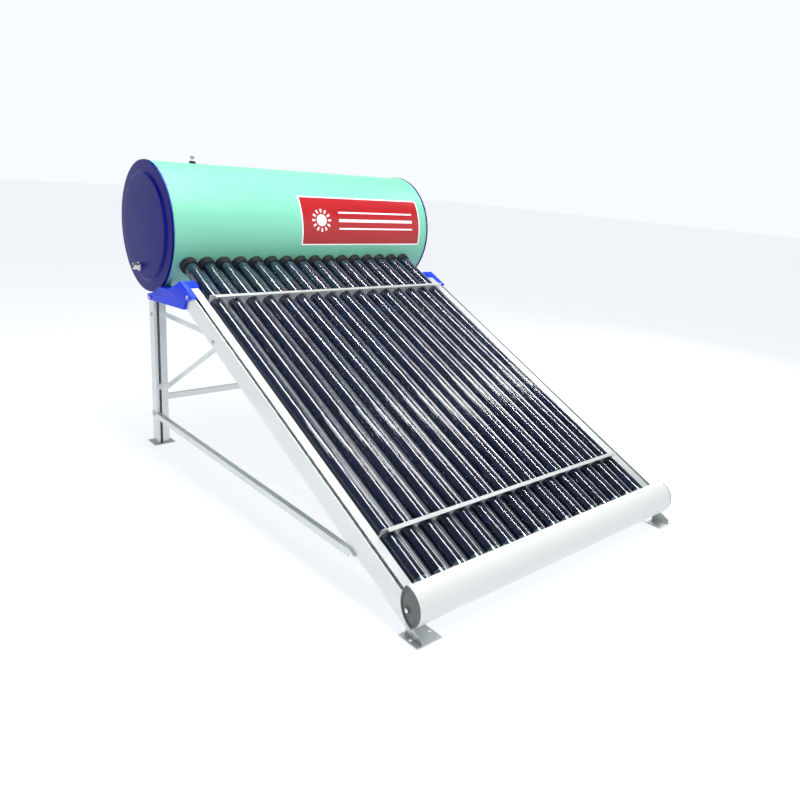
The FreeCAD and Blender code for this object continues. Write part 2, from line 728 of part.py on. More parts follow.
def make_rail(side, sign):
    wall = size.profile_wall
    length = size.rail_end - size.rail_top
    low = span(sign, size.frame_inner, rail_outer)
    slot_far = rail_outer - size.rail_slot_edge
    slot_low = span(sign, slot_far - size.slot_width, slot_far)
    solid = block("rail_solid_" + side, "rail_width", length, "rail_height", (low, -size.rail_end, rail_low), SLOPE)
    hollow = block("rail_hollow_" + side, "rail_width - 2 * profile_wall", length + 20,
                   "rail_height - 2 * profile_wall", (low + wall, -size.rail_end - 10, rail_low + wall), SLOPE)
    slot = block("rail_slot_" + side, "slot_width", length + 20, 20,
                 (slot_low, -size.rail_end - 10, -size.rail_drop - 10), SLOPE)
    finish(drilled(solid, side + "_front_rail", [hollow, slot]), side + "_front_rail")


def make_leg(side, sign):
    wall = size.profile_wall
    low = span(sign, size.frame_inner, leg_outer)
    foot = size.foot_wall + size.slide_gap
    height = leg_top - foot
    slot_far = leg_outer - size.leg_slot_edge
    slot_low = span(sign, slot_far - size.slot_width, slot_far)
    solid = block("leg_solid_" + side, "leg_width", "leg_depth", height, (low, leg_front, foot))
    hollow = block("leg_hollow_" + side, "leg_width - 2 * profile_wall", "leg_depth - 2 * profile_wall",
                   height + 20, (low + wall, leg_front + wall, foot - 10))
    slot = block("leg_slot_" + side, "slot_width", 10, height + 20, (slot_low, leg_front - 5, foot - 10))
    finish(drilled(solid, side + "_rear_leg", [hollow, slot]), side + "_rear_leg")


def make_saddle(side, sign):
    """Cradle under the tank, with sockets for the leg and for the top of the rail."""
    radius = size.casing_radius + size.saddle_gap
    height = size.axis_height

    def seat(angle):
        return (-radius * math.cos(math.radians(angle)), height - radius * math.sin(math.radians(angle)))

    def on_slope(past_rail_top, h):
        point = slope_point(0, size.rail_top + past_rail_top, h)
        return (point.y, point.z)

    back_angle = math.degrees(math.acos(size.saddle_back / radius))
    heel = (-size.saddle_back, saddle_bottom)
    corners = [
        heel,
        on_slope(size.saddle_chin - size.saddle_wall / 2, rail_low - size.saddle_wall),
        on_slope(size.saddle_chin, size.saddle_chin_h),
        on_slope(size.saddle_toe, -size.rail_drop / 2),
        on_slope(size.saddle_toe, 0),
        on_slope(-size.saddle_brow, 0),
        on_slope(-size.saddle_throat, size.saddle_throat_h),
        on_slope(-size.saddle_neck, size.saddle_neck_h),
        seat(size.saddle_rise),
    ]
    edges = [line(a, b) for a, b in zip(corners, corners[1:])]
    edges.append(arc(seat(size.saddle_rise), seat((size.saddle_rise + back_angle) / 2), seat(back_angle)))
    edges.append(line(seat(back_angle), heel))
    blank = padded("saddle_blank_" + side, "YZ_Plane", edges, "saddle_width",
                   span(sign, saddle_inner, saddle_outer))
    gap = size.saddle_gap
    leg_hole = block("saddle_leg_" + side, "leg_width + 2 * saddle_gap", "leg_depth + 2 * saddle_gap",
                     leg_top - saddle_bottom + PAST + gap,
                     (span(sign, size.frame_inner, leg_outer) - gap, leg_front - gap, saddle_bottom - PAST))
    reach = size.saddle_toe + PAST
    rail_hole = block("saddle_rail_" + side, "rail_width + 2 * saddle_gap", reach,
                      "rail_height + 2 * saddle_gap",
                      (span(sign, size.frame_inner, rail_outer) - gap, -size.rail_top - reach + gap,
                       rail_low - gap), SLOPE)
    # the hood over the end of the rail is short on the inner side, so that the tubes clear it
    inner_edge = saddle_inner - PAST
    hood_edge = size.frame_inner + size.saddle_hood_x
    hood_cut = block("saddle_hood_" + side, hood_edge - inner_edge, reach, 2 * size.rail_height,
                     (span(sign, inner_edge, hood_edge), -size.rail_top - size.saddle_hood - reach,
                      rail_low - size.rail_height / 2), SLOPE)
    # room for the bead and for the rim of the end cap; the right cap is clear of its saddle
    rim_near = size.casing_left - size.cap_overlap - size.bead_inset - size.bead_width - size.saddle_gap
    rim_far = saddle_outer + PAST
    room_left = span(sign, rim_near, rim_far)
    cap_room = x_drum("saddle_cap_room_" + side, "casing_radius + saddle_clearance", room_left,
                      room_left + rim_far - rim_near)
    stud_hole = stud_rod("saddle_stud_" + side, sign, "bolt_radius + bolt_gap", radius - 2 * PAST, 12 * PAST)
    pocket = stud_rod("saddle_pocket_" + side, sign, "stud_pocket", size.stud_seat, 6 * PAST)
    holes = [leg_hole, rail_hole, hood_cut, stud_hole, pocket]
    if side == "left":
        holes.append(cap_room)
    finish(drilled(blank, side + "_tank_saddle", holes), side + "_tank_saddle")


def make_studs():
    """Studs from the inner tank through the saddles, each with its nut."""
    studs = []
    for side, sign in SIDES.items():
        seat = size.stud_seat
        length = seat + size.nut_height + size.bolt_spare - size.inner_radius
        shank = stud_rod("stud_shank_" + side, sign, "bolt_radius", size.inner_radius + size.stud_start, length)
        nut = doc.addObject("Part::Prism", "stud_nut_" + side)
        bind(nut, Circumradius="head_radius", Height="nut_height")
        angle = math.radians(size.stud_angle)
        out = Vector(0, -math.cos(angle), -math.sin(angle))
        nut.Placement = Placement(tank_centre + out * seat + Vector(sign * size.stud_x, 0, 0), Rotation(ALONG_Z, out))
        studs.append(fuse("stud_" + side, [shank, nut]))
    finish(group("stud_set", studs), "tank_studs")


def make_upper_strut(side, sign):
    end = size.brace_width * BRACE_END
    low = span(sign, size.frame_inner - size.bar_thick, size.frame_inner)
    length = -size.leg_middle + end - (brace_front - end)
    bar = block("upper_strut_bar_" + side, "bar_thick", length, "brace_width",
                (low, brace_front - end, brace_height - size.brace_width / 2))
    finish(drilled(bar, side + "_upper_strut"), side + "_upper_strut")


def make_diagonal(side, sign):
    """Flat bar from the rail down to the leg, with a foot bent across the front of the leg."""
    near = size.frame_inner - 2 * size.bar_thick
    foot_y = leg_front - size.bar_thick / 2
    rise = math.atan2(brace_height - size.diagonal_foot, brace_front - foot_y)
    length = math.hypot(brace_height - size.diagonal_foot, brace_front - foot_y)
    end = size.brace_width * BRACE_END
    frame = Placement(Vector(0, foot_y, size.diagonal_foot), Rotation(ALONG_X, math.degrees(rise)))
    bar = block("diagonal_bar_" + side, "bar_thick", length + end, "brace_width",
                (span(sign, near, near + size.bar_thick), 0, -size.brace_width / 2), frame)
    reach = leg_slot_middle + size.diagonal_reach - near
    foot = block("diagonal_foot_" + side, reach, "bar_thick", "brace_width + 2 * diagonal_foot_spare",
                 (span(sign, near, near + reach), leg_front - size.bar_thick,
                  size.diagonal_foot - size.brace_width / 2 - size.diagonal_foot_spare))
    blank = fuse("diagonal_blank_" + side, [bar, foot])
    finish(drilled(blank, side + "_diagonal_strut"), side + "_diagonal_strut")


def make_lower_strut(side, sign):
    """Angle bar from the outside of the leg to a bent tab under the rail."""
    thick = size.bar_thick
    width = size.lower_strut_width
    outer = leg_outer + thick
    low_z = size.lower_strut_height - width / 2
    front = slope_point(0, size.lower_tab_s - 2 * size.bolt_radius, rail_low - thick).y
    back = -size.leg_middle + width
    upright = block("lower_strut_side_" + side, "bar_thick", back - front, "lower_strut_width",
                    (span(sign, leg_outer, outer), front, low_z))
    ledge_back = leg_front - size.crossbar_inset
    ledge = block("lower_strut_ledge_" + side, "brace_width", ledge_back - front, "bar_thick",
                  (span(sign, outer - size.brace_width, outer), front, low_z + width - thick))
    tab_inner = size.frame_inner + size.lower_tab_inset
    tab = block("lower_strut_tab_" + side, outer - tab_inner, "lower_tab_length", "bar_thick",
                (span(sign, tab_inner, outer), -size.lower_tab_s - size.lower_tab_reach, rail_low - thick), SLOPE)
    blank = fuse("lower_strut_blank_" + side, [upright, ledge, tab])
    finish(drilled(blank, side + "_lower_strut"), side + "_lower_strut")


def make_crossbar():
    reach = leg_outer - size.crossbar_inset
    low_z = size.crossbar_height - size.crossbar_width / 2
    upright = block("crossbar_side", 2 * reach, "bar_thick", "crossbar_width", (-reach, leg_rear, low_z))
    inside = size.frame_inner - size.crossbar_ledge_inset
    ledge = block("crossbar_ledge", 2 * inside, "crossbar_ledge", "bar_thick",
                  (-inside, leg_rear, low_z + size.crossbar_width - size.bar_thick))
    finish(drilled(fuse("crossbar_blank", [upright, ledge]), "rear_crossbar"), "rear_crossbar")


def make_tube_bar(label, s):
    """Folded bar between the rails, scalloped for the tubes, with a lip on each tab."""
    wall = size.tube_bar_wall
    inner = size.frame_inner
    depth = size.tube_bar_depth
    plate = block(label + "_plate", 2 * inner, "tube_bar_wall", depth + size.tab_height, (-inner, -s, -depth), SLOPE)
    lip = block(label + "_lip", 2 * (inner - size.tab_inset), "tab_lip", "tube_bar_wall",
                (size.tab_inset - inner, -s - size.tab_lip + wall, size.tab_height - wall), SLOPE)
    flange = block(label + "_flange", 2 * inner, "tube_bar_flange", "tube_bar_wall", (-inner, -s, -depth), SLOPE)
    ends = [block(label + "_end_" + side, "tube_bar_wall", "tube_bar_flange", "tube_bar_end",
                  (span(sign, inner - wall, inner), -s, -depth), SLOPE) for side, sign in SIDES.items()]
    notches = port_rods(label + "_notch", "tube_radius + tube_notch_gap", s - 40, s + 40)
    blank = fuse(label + "_blank", [plate, lip, flange] + ends)
    finish(drilled(blank, label, notches), label)


# ---------------------------------------------------------------- tailstock

def make_tailstock_base():
    wall = size.base_wall
    inner = size.frame_inner
    floor = -(size.base_floor + wall)
    plate = block("base_plate", 2 * inner, "base_wall", size.base_top - floor, (-inner, -size.base_s - wall, floor),
                  SLOPE)
    ledge = block("base_ledge", 2 * inner, "base_depth", "base_wall", (-inner, -size.base_s, floor), SLOPE)
    ends = [block("base_end_" + side, "base_wall", "base_depth", "base_end_height",
                  (span(sign, inner - wall, inner), -size.base_s, floor), SLOPE) for side, sign in SIDES.items()]
    finish(drilled(fuse("base_blank", [plate, ledge] + ends), "tailstock_base", screw_drills("base")),
           "tailstock_base")


def cover_arc(shrink):
    """The cover's curved section, or a parallel arc inside it."""
    back = Vector(-size.cover_back, size.cover_rise, 0)
    nose = Vector(-size.cover_nose_s, size.cover_nose_h, 0)
    foot = Vector(-size.cover_foot_s, size.cover_foot_h, 0)
    circle = Part.Circle(back, nose, foot)
    centre = circle.Center
    radius = circle.Radius - shrink
    return [centre + (point - centre).normalize() * radius for point in (back, nose, foot)]


def make_cover():
    """Curved front of the tailstock, with a lip that is screwed under the base."""
    outer = cover_arc(0)
    inner = cover_arc(size.cover_wall)
    edges = [arc(outer[0], outer[1], outer[2]), line(outer[2], inner[2]),
             arc(inner[2], inner[1], inner[0]), line(inner[0], outer[0])]
    skin = padded("cover_skin", "YZ_Plane", edges, "2 * (frame_inner + rail_width)", -rail_outer, SLOPE)
    lip_top = -(size.base_floor + size.base_wall)
    inside = size.frame_inner - size.cover_lip_inset
    lip = block("cover_lip", 2 * inside, "cover_lip", "cover_wall",
                (-inside, -size.cover_foot_s + size.cover_lip_overlap, lip_top - size.cover_wall), SLOPE)
    finish(cut("cover_cut", fuse("cover_blank", [skin, lip]), screw_drills("cover")), "tailstock_cover")


def screw_point(x):
    return slope_point(x, size.base_s - size.screw_back, -(size.base_floor + size.base_wall + size.cover_wall))


def screw_drills(name):
    return [rod("%s_screw_hole_%d" % (name, i), "screw_radius + pipe_gap", "screw_length + 3",
                screw_point(x) - SQUARE * 2, SQUARE)
            for i, x in enumerate(screw_xs, start=1)]


def make_screws():
    screws = []
    for i, x in enumerate(screw_xs, start=1):
        shank = rod("screw_shank_%d" % i, "screw_radius", "screw_length", screw_point(x), SQUARE)
        head = rod("screw_head_%d" % i, "screw_head_radius", "screw_head_height",
                   screw_point(x) - SQUARE * size.screw_head_height, SQUARE)
        screws.append(fuse("screw_%d" % i, [shank, head]))
    finish(group("screw_set", screws), "cover_screws")


def make_end_plate(side, sign):
    """Leaf-shaped plate that closes one end of the tailstock."""
    inset = size.cover_wall
    top = (-size.cover_back - 4, size.cover_rise - 2 * inset)
    front = (-size.cover_nose_s + inset, size.cover_nose_h - inset)
    foot = (-size.cover_foot_s + 2, size.cover_foot_h - 1)
    back = (-size.cover_back - size.leaf_back_s, size.leaf_back_h)
    edges = [arc(top, front, foot), arc(foot, back, top)]
    low = span(sign, rail_outer, rail_outer + size.end_plate_wall)
    plate = padded("end_plate_" + side, "YZ_Plane", edges, "end_plate_wall", low, SLOPE)
    finish(drilled(plate, "tailstock_end_" + side), "tailstock_end_" + side)


def make_cups():
    """Rubber cups that carry the round ends of the tubes."""
    dome_s = size.tube_end - size.tube_radius
    bosses = port_rods("cup_boss", "cup_boss_radius", dome_s + size.cup_depth, size.base_s)
    tips = port_rods("cup_tip", "tube_tip_radius + 1", dome_s, size.base_s - 2)
    fronts = port_rods("cup_front", "tube_radius + 2 * cup_wall", dome_s - 2 * size.tube_radius,
                       dome_s + size.cup_depth)
    cups = []
    for i, (x, boss, tip, front) in enumerate(zip(tube_xs, bosses, tips, fronts), start=1):
        bowl = ball("cup_bowl_%02d" % i, "tube_radius + cup_wall", tube_point(x, dome_s))
        seat = ball("cup_seat_%02d" % i, "tube_radius + cup_gap", tube_point(x, dome_s))
        cups.append(cut("cup_%02d" % i, fuse("cup_blank_%02d" % i, [bowl, boss]), [seat, tip, front]))
    finish(group("cup_set", cups), "tube_cups")


# ---------------------------------------------------------------- feet

def foot_plate(name, x, y):
    plate = block(name + "_plate", "foot_width", "foot_depth", "foot_wall",
                  (x - size.foot_width / 2, y - size.foot_depth / 2, 0))
    holes = [rod("%s_anchor_%s" % (name, side), "foot_hole_radius", 20,
                 Vector(x + sign * size.foot_hole_spacing / 2, y, -10), ALONG_Z) for side, sign in SIDES.items()]
    return plate, holes


def make_rear_foot(side, sign):
    label = "rear_%s_foot" % side
    plate, holes = foot_plate(label, sign * (size.frame_inner + size.leg_width / 2), -size.leg_middle)
    near = size.frame_inner + size.profile_wall
    tab = block(label + "_tab", "foot_tab", "leg_depth - 2 * profile_wall - 2", "foot_tab_height",
                (span(sign, near, near + size.foot_tab), leg_front + size.profile_wall + 1, size.foot_wall - 1))
    finish(drilled(fuse(label + "_blank", [plate, tab]), label, holes), label)


def make_front_foot(side, sign):
    """Ground plate with an upright tab that runs up inside the rail."""
    label = "front_%s_foot" % side
    plate, holes = foot_plate(label, sign * size.foot_front_x, -size.foot_front_y)
    front_y = front_tip + size.foot_tab_inset
    gap = size.profile_wall + 1
    low = rail_low + gap
    high = -size.rail_drop - gap
    end_s = size.rail_end
    top_s = end_s - size.foot_tab_overlap
    corners = [slope_point(0, end_s, low), slope_point(0, top_s, low), slope_point(0, top_s, high),
               slope_point(0, end_s, high)]
    ground = size.foot_wall - 1
    behind_cover = slope_point(0, end_s + 10, size.cover_foot_h)
    points = [(front_y, ground), (corners[0].y - 2, ground)] + [(p.y, p.z) for p in corners]
    points += [(behind_cover.y, behind_cover.z), (front_y, size.foot_wall + size.foot_tab_nose)]
    far = rail_outer - size.profile_wall
    tab = padded(label + "_tab", "YZ_Plane", outline(points), "foot_tab", span(sign, far - size.foot_tab, far))
    finish(drilled(fuse(label + "_blank", [plate, tab]), label, holes), label)


# ---------------------------------------------------------------- assembly

make_casing()
make_inner_tank()
make_foam()
make_cap("left", -1, size.casing_left)
make_cap("right", 1, size.casing_right)
make_nipple("hot_outlet_nipple", -1, size.inner_left, size.casing_left)
make_nipple("cold_inlet_nipple", 1, size.inner_right, size.casing_right)
make_vent()
make_label()
make_seals()
make_dust_rings()
for number, x in enumerate(tube_xs, start=1):
    make_tube(number, x)
for side, sign in SIDES.items():
    make_rail(side, sign)
    make_leg(side, sign)
    make_saddle(side, sign)
    make_upper_strut(side, sign)
    make_diagonal(side, sign)
    make_lower_strut(side, sign)
    make_end_plate(side, sign)
    make_rear_foot(side, sign)
    make_front_foot(side, sign)
make_studs()
make_crossbar()
make_tube_bar("upper_tube_bar", size.upper_bar_s)
make_tube_bar("lower_tube_bar", size.lower_bar_s)
make_tailstock_base()
make_cover()
make_screws()
make_cups()
finish(group("bolt_set", bolts), "frame_bolts")
finish(group("nut_set", nuts), "frame_nuts")

doc.recompute()
for item in doc.Objects:
    faults = [state for state in item.State if state in ("Invalid", "Error")]
    if faults:
        raise RuntimeError("%s is %s" % (item.Name, ", ".join(faults)))
os.makedirs("parts", exist_ok=True)
for piece in finished:
    shape = piece.Shape
    if shape.isNull() or not shape.isValid():
        raise RuntimeError("%s has no valid shape" % piece.Label)
    shape.exportStep(os.path.join("parts", piece.Label + ".step"))
    print("%-24s %2d solids %12.0f mm3" % (piece.Label, len(shape.Solids), shape.Volume))
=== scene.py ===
# %% [markdown]
# # A thermosiphon solar water heater
# The heater is an insulated tank on a low aluminium stand. Evacuated glass tubes slope down from
# the tank to a bar at the front. Cold water sinks into the tubes, the sun warms it, and it rises
# back into the tank.
#
# The engineering model already exists, and its pieces are loaded first. Most of the lesson
# dresses them: it gives each piece its finish, and makes finer pieces where the engineering
# shape is too plain. Every new piece is placed from measurements of the loaded ones, so that
# nothing has to be fitted by eye.

# %% Load the engineering model
import json
import math

import bmesh
import bpy
from mathutils import Matrix, Vector


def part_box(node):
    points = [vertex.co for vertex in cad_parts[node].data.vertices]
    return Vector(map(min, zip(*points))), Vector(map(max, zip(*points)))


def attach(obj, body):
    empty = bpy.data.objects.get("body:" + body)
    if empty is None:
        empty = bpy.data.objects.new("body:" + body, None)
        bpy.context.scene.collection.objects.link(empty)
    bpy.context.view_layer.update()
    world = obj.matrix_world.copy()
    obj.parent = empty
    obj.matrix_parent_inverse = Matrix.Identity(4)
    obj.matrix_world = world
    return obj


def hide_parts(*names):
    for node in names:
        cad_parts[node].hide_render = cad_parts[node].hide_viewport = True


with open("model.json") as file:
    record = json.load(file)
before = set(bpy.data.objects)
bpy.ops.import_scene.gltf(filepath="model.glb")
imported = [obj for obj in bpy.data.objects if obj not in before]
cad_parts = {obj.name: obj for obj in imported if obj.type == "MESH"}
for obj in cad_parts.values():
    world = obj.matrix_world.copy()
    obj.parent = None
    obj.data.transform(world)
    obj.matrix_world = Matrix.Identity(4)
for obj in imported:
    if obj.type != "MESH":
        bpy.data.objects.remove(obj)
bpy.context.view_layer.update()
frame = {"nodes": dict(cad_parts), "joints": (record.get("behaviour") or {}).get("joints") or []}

# %% [markdown]
# ## Where things are
# A few measurements place everything else: the tank's axis, the middle of the row of tubes, and
# the slope of the tubes. The slope is read from a tube's slide joint, because a tube is lifted
# along its own length. The helper `down_slope` turns "this far down the tubes, this far above
# them" into a point in the model.

# %% Measure the tank and the slope
casing_low, casing_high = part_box("tank_casing")
AXIS_Y = (casing_low.y + casing_high.y) / 2
AXIS_Z = (casing_low.z + casing_high.z) / 2
TUBE_NAMES = sorted(name for name in frame["nodes"] if name.startswith("evacuated_tube"))
TUBE_XS = [(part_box(name)[0].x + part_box(name)[1].x) / 2 for name in TUBE_NAMES]
BANK_X = (TUBE_XS[0] + TUBE_XS[-1]) / 2
slide_axis = Vector(frame["joints"][0]["axis"])
SLOPE = math.atan2(slide_axis.z, slide_axis.y)
UP = Vector((0, math.cos(SLOPE), math.sin(SLOPE)))
SQUARE = Vector((0, -math.sin(SLOPE), math.cos(SLOPE)))

TUBE_DROP = 0.017


def down_slope(x, s, h):
    """The point s down the tubes from the tank's axis and h square to them."""
    return Vector((x, AXIS_Y, AXIS_Z)) - UP * s + SQUARE * h


def along_tube(x):
    """A matrix whose local z runs down a tube, which passes just below the tank's axis."""
    turn = Matrix((Vector((1, 0, 0)), SQUARE, -UP)).transposed().to_4x4()
    return Matrix.Translation(down_slope(x, 0, -TUBE_DROP)) @ turn


ALONG_TANK = Matrix.Translation(Vector((0, AXIS_Y, AXIS_Z))) @ Matrix(
    (Vector((0, 1, 0)), Vector((0, 0, 1)), Vector((1, 0, 0)))).transposed().to_4x4()
print("tank axis at y %.3f z %.3f, slope %.1f degrees" % (AXIS_Y, AXIS_Z, math.degrees(SLOPE)))

# %% [markdown]
# ## The studio
# A product picture needs a plain floor, an even surround and a few large soft lights. Large
# lamps make long, soft highlights on round metal and glass, which is what tells the eye that
# they are round. The narrow lamp overhead draws the thin bright line along each glass tube. The
# last lamp only washes the front of the tank, and shows in no reflection.

# %% Floor and surround
FLOOR_SIZE = 60.0
floor_mesh = bpy.data.meshes.new("studio_floor")
half = FLOOR_SIZE / 2
floor_corners = [(-half, -half, 0), (half, -half, 0), (half, half, 0), (-half, half, 0)]
floor_mesh.from_pydata(floor_corners, [], [(0, 1, 2, 3)])
floor = bpy.data.objects.new("studio_floor", floor_mesh)
bpy.context.scene.collection.objects.link(floor)

world = bpy.data.worlds.new("studio")
bpy.context.scene.world = world
world.use_nodes = True
surround = world.node_tree.nodes["Background"]
direction = world.node_tree.nodes.new("ShaderNodeTexCoord")
split = world.node_tree.nodes.new("ShaderNodeSeparateXYZ")
sky = world.node_tree.nodes.new("ShaderNodeValToRGB")
SKY_TONES = ((0.3, (0.95, 0.97, 0.99, 1)), (0.5, (0.10, 0.12, 0.14, 1)))
for stop, (position, tone) in zip(sky.color_ramp.elements, SKY_TONES):
    stop.position = position
    stop.color = tone
world.node_tree.links.new(direction.outputs["Generated"], split.inputs["Vector"])
world.node_tree.links.new(split.outputs["Z"], sky.inputs["Fac"])
world.node_tree.links.new(sky.outputs["Color"], surround.inputs["Color"])
bpy.context.scene.view_settings.view_transform = "Standard"
print("floor %.0f m across" % FLOOR_SIZE)

# %% Soft lights


def soft_light(name, place, target, size, power):
    """A rectangular lamp at place, aimed at target."""
    data = bpy.data.lights.new(name, "AREA")
    data.shape = "RECTANGLE"
    data.size, data.size_y = size
    data.energy = power
    lamp = bpy.data.objects.new(name, data)
    lamp.location = place
    aim = Vector(target) - Vector(place)
    lamp.rotation_euler = aim.to_track_quat("-Z", "Y").to_euler()
    bpy.context.scene.collection.objects.link(lamp)
    return lamp


soft_light("overhead_strip", (-0.25, -0.1, 3.6), (-0.25, -0.1, 0), (0.7, 4.4), 150)
soft_light("front_left", (-3.0, -3.6, 2.2), (-0.2, 0, 0.6), (1.6, 1.6), 22)
soft_light("right_side", (3.4, 0.4, 2.2), (0, 0, 0.6), (1.2, 3.4), 40)
tank_wash = soft_light("tank_wash", (-0.1, -0.35, 2.3), (0, 0.77, 0.98), (2.8, 0.3), 26)
tank_wash.visible_glossy = False

# %% [markdown]
# ## The camera
# The camera stands in front and to the left, a little above the tank, and leans slightly.
# Its three axes are written out as a matrix: the first column points right in the picture, the
# second up, and the third backwards, which is how Blender's cameras look along their own -z.

# %% Camera
CAMERA_PLACE = Vector((-1.82389, -2.15037, 1.19275))
CAMERA_RIGHT = Vector((0.756587, -0.649906, 0.072103))
CAMERA_UP = Vector((0.144502, 0.273717, 0.950893))
CAMERA_LENS = 31.642
camera_data = bpy.data.cameras.new("camera")
camera_data.sensor_width = 36.0
camera_data.lens = CAMERA_LENS
camera = bpy.data.objects.new("camera", camera_data)
backwards = CAMERA_RIGHT.cross(CAMERA_UP)
camera.matrix_world = Matrix.Translation(CAMERA_PLACE) @ Matrix(
    (CAMERA_RIGHT, CAMERA_UP, backwards)).transposed().to_4x4()
bpy.context.scene.collection.objects.link(camera)
bpy.context.scene.camera = camera
print("camera at", tuple(round(v, 3) for v in CAMERA_PLACE))

# %% [markdown]
# ## Finishes
# A real surface is never one flat colour. Paint has faint mottling and an orange-peel texture,
# drawn aluminium has streaks, rubber is dusty. Each finish below is a Principled shader fed by
# noise: one noise varies the colour, a finer one varies the roughness, and the same fine noise
# gives a slight bump. The noise reads the object's own coordinates, so it stays on the piece.

# %% Helpers for finishes


def linear(red, green, blue):
    """A screen colour, 0 to 255, as the linear colour that shaders use."""
    return tuple((c / 255 / 12.92) if c / 255 <= 0.04045 else ((c / 255 + 0.055) / 1.055) ** 2.4
                 for c in (red, green, blue)) + (1.0,)


def shade(colour, factor):
    """The same colour, lighter or darker."""
    return tuple(min(1.0, c * factor) for c in colour[:3]) + (1.0,)


def surface(name, colour, roughness, metallic=0.0, mottle=0.06, mottle_scale=6.0, grain_scale=300.0,
            rough_spread=0.06, bump=0.02, bump_depth=0.001, stretch=(1, 1, 1), turn=0.0, coat=0.0, gloss=0.5):
    """A Principled material whose colour, roughness and bump vary with noise."""
    material = bpy.data.materials.new(name)
    material.use_nodes = True
    tree = material.node_tree
    shader = tree.nodes["Principled BSDF"]
    shader.inputs["Metallic"].default_value = metallic
    shader.inputs["Coat Weight"].default_value = coat
    shader.inputs["Coat Roughness"].default_value = 0.08
    shader.inputs["Specular IOR Level"].default_value = gloss
    place = tree.nodes.new("ShaderNodeTexCoord")
    mapping = tree.nodes.new("ShaderNodeMapping")
    mapping.inputs["Scale"].default_value = stretch
    mapping.inputs["Rotation"].default_value = (turn, 0, 0)
    tree.links.new(place.outputs["Object"], mapping.inputs["Vector"])
    broad = tree.nodes.new("ShaderNodeTexNoise")
    broad.inputs["Scale"].default_value = mottle_scale
    broad.inputs["Detail"].default_value = 6
    fine = tree.nodes.new("ShaderNodeTexNoise")
    fine.inputs["Scale"].default_value = grain_scale
    fine.inputs["Detail"].default_value = 3
    for node in (broad, fine):
        tree.links.new(mapping.outputs["Vector"], node.inputs["Vector"])
    ramp = tree.nodes.new("ShaderNodeValToRGB")
    for stop, position, factor in zip(ramp.color_ramp.elements, (0.3, 0.7), (1 - mottle, 1 + mottle)):
        stop.position = position
        stop.color = shade(colour, factor)
    tree.links.new(broad.outputs["Fac"], ramp.inputs["Fac"])
    tree.links.new(ramp.outputs["Color"], shader.inputs["Base Color"])
    spread = tree.nodes.new("ShaderNodeMapRange")
    spread.inputs["To Min"].default_value = max(0.0, roughness - rough_spread)
    spread.inputs["To Max"].default_value = roughness + rough_spread
    tree.links.new(fine.outputs["Fac"], spread.inputs["Value"])
    tree.links.new(spread.outputs["Result"], shader.inputs["Roughness"])
    relief = tree.nodes.new("ShaderNodeBump")
    relief.inputs["Strength"].default_value = bump
    relief.inputs["Distance"].default_value = bump_depth
    tree.links.new(fine.outputs["Fac"], relief.inputs["Height"])
    tree.links.new(relief.outputs["Normal"], shader.inputs["Normal"])
    return material


# %% Paints, metals, rubber and plastic
casing_paint = surface("casing_paint", linear(112, 184, 158), 0.33, mottle=0.03, grain_scale=420,
                       bump=0.03, gloss=0.6)
cap_paint = surface("cap_paint", linear(0, 0, 112), 0.36, mottle=0.08, grain_scale=420, bump=0.03,
                    gloss=0.12)
saddle_blue = surface("saddle_blue", linear(0, 52, 232), 0.42, mottle=0.06, grain_scale=260, bump=0.05,
                      gloss=0.25)
steel = surface("tank_steel", (0.72, 0.73, 0.74, 1), 0.25, metallic=1.0, mottle=0.05, grain_scale=500)
aluminium = surface("frame_aluminium", (0.76, 0.79, 0.785, 1), 0.4, metallic=0.6, mottle=0.05, mottle_scale=9,
                    grain_scale=260, rough_spread=0.08, bump=0.05, stretch=(1, 0.04, 1), turn=-SLOPE)
leg_aluminium = surface("leg_aluminium", (0.72, 0.75, 0.745, 1), 0.4, metallic=0.6, mottle=0.05, mottle_scale=9,
                        grain_scale=260, rough_spread=0.08, bump=0.05, stretch=(1, 1, 0.04))
cross_aluminium = surface("cross_aluminium", (0.74, 0.77, 0.765, 1), 0.38, metallic=0.7, mottle=0.04,
                          grain_scale=260, rough_spread=0.07, bump=0.05, stretch=(0.04, 1, 1))
foot_metal = surface("foot_metal", (0.62, 0.65, 0.64, 1), 0.42, metallic=1.0, mottle=0.12, mottle_scale=18,
                     grain_scale=350, bump=0.1)
zinc = surface("zinc_fasteners", (0.66, 0.66, 0.64, 1), 0.3, metallic=1.0, mottle=0.12, mottle_scale=60)
black_rubber = surface("black_rubber", linear(16, 16, 22), 0.55, mottle=0.25, mottle_scale=40, grain_scale=700,
                       bump=0.2)
seal_rubber = surface("seal_rubber", linear(170, 80, 60), 0.5, mottle=0.08, mottle_scale=40, bump=0.1)
foam = surface("foam", linear(238, 222, 170), 0.9, mottle=0.1, mottle_scale=30, grain_scale=500, bump=0.4)
end_plate = surface("end_plate_plastic", linear(96, 104, 102), 0.45, mottle=0.15, mottle_scale=30,
                    grain_scale=600, bump=0.12)
knob_plastic = surface("knob_plastic", linear(120, 130, 128), 0.5, mottle=0.1, mottle_scale=60, bump=0.1)
cover_aluminium = surface("cover_aluminium", (0.79, 0.81, 0.80, 1), 0.5, metallic=0.15, mottle=0.03,
                          grain_scale=260, rough_spread=0.06, bump=0.04, stretch=(0.04, 1, 1))
floor_finish = surface("studio_floor", (0.2, 0.205, 0.21, 1), 0.9, mottle=0.01, mottle_scale=2, bump=0.0)
floor_glow = floor_finish.node_tree.nodes["Principled BSDF"]
floor_glow.inputs["Emission Color"].default_value = (0.95, 0.97, 1.0, 1)
floor_glow.inputs["Emission Strength"].default_value = 0.84
floor_mesh.materials.append(floor_finish)

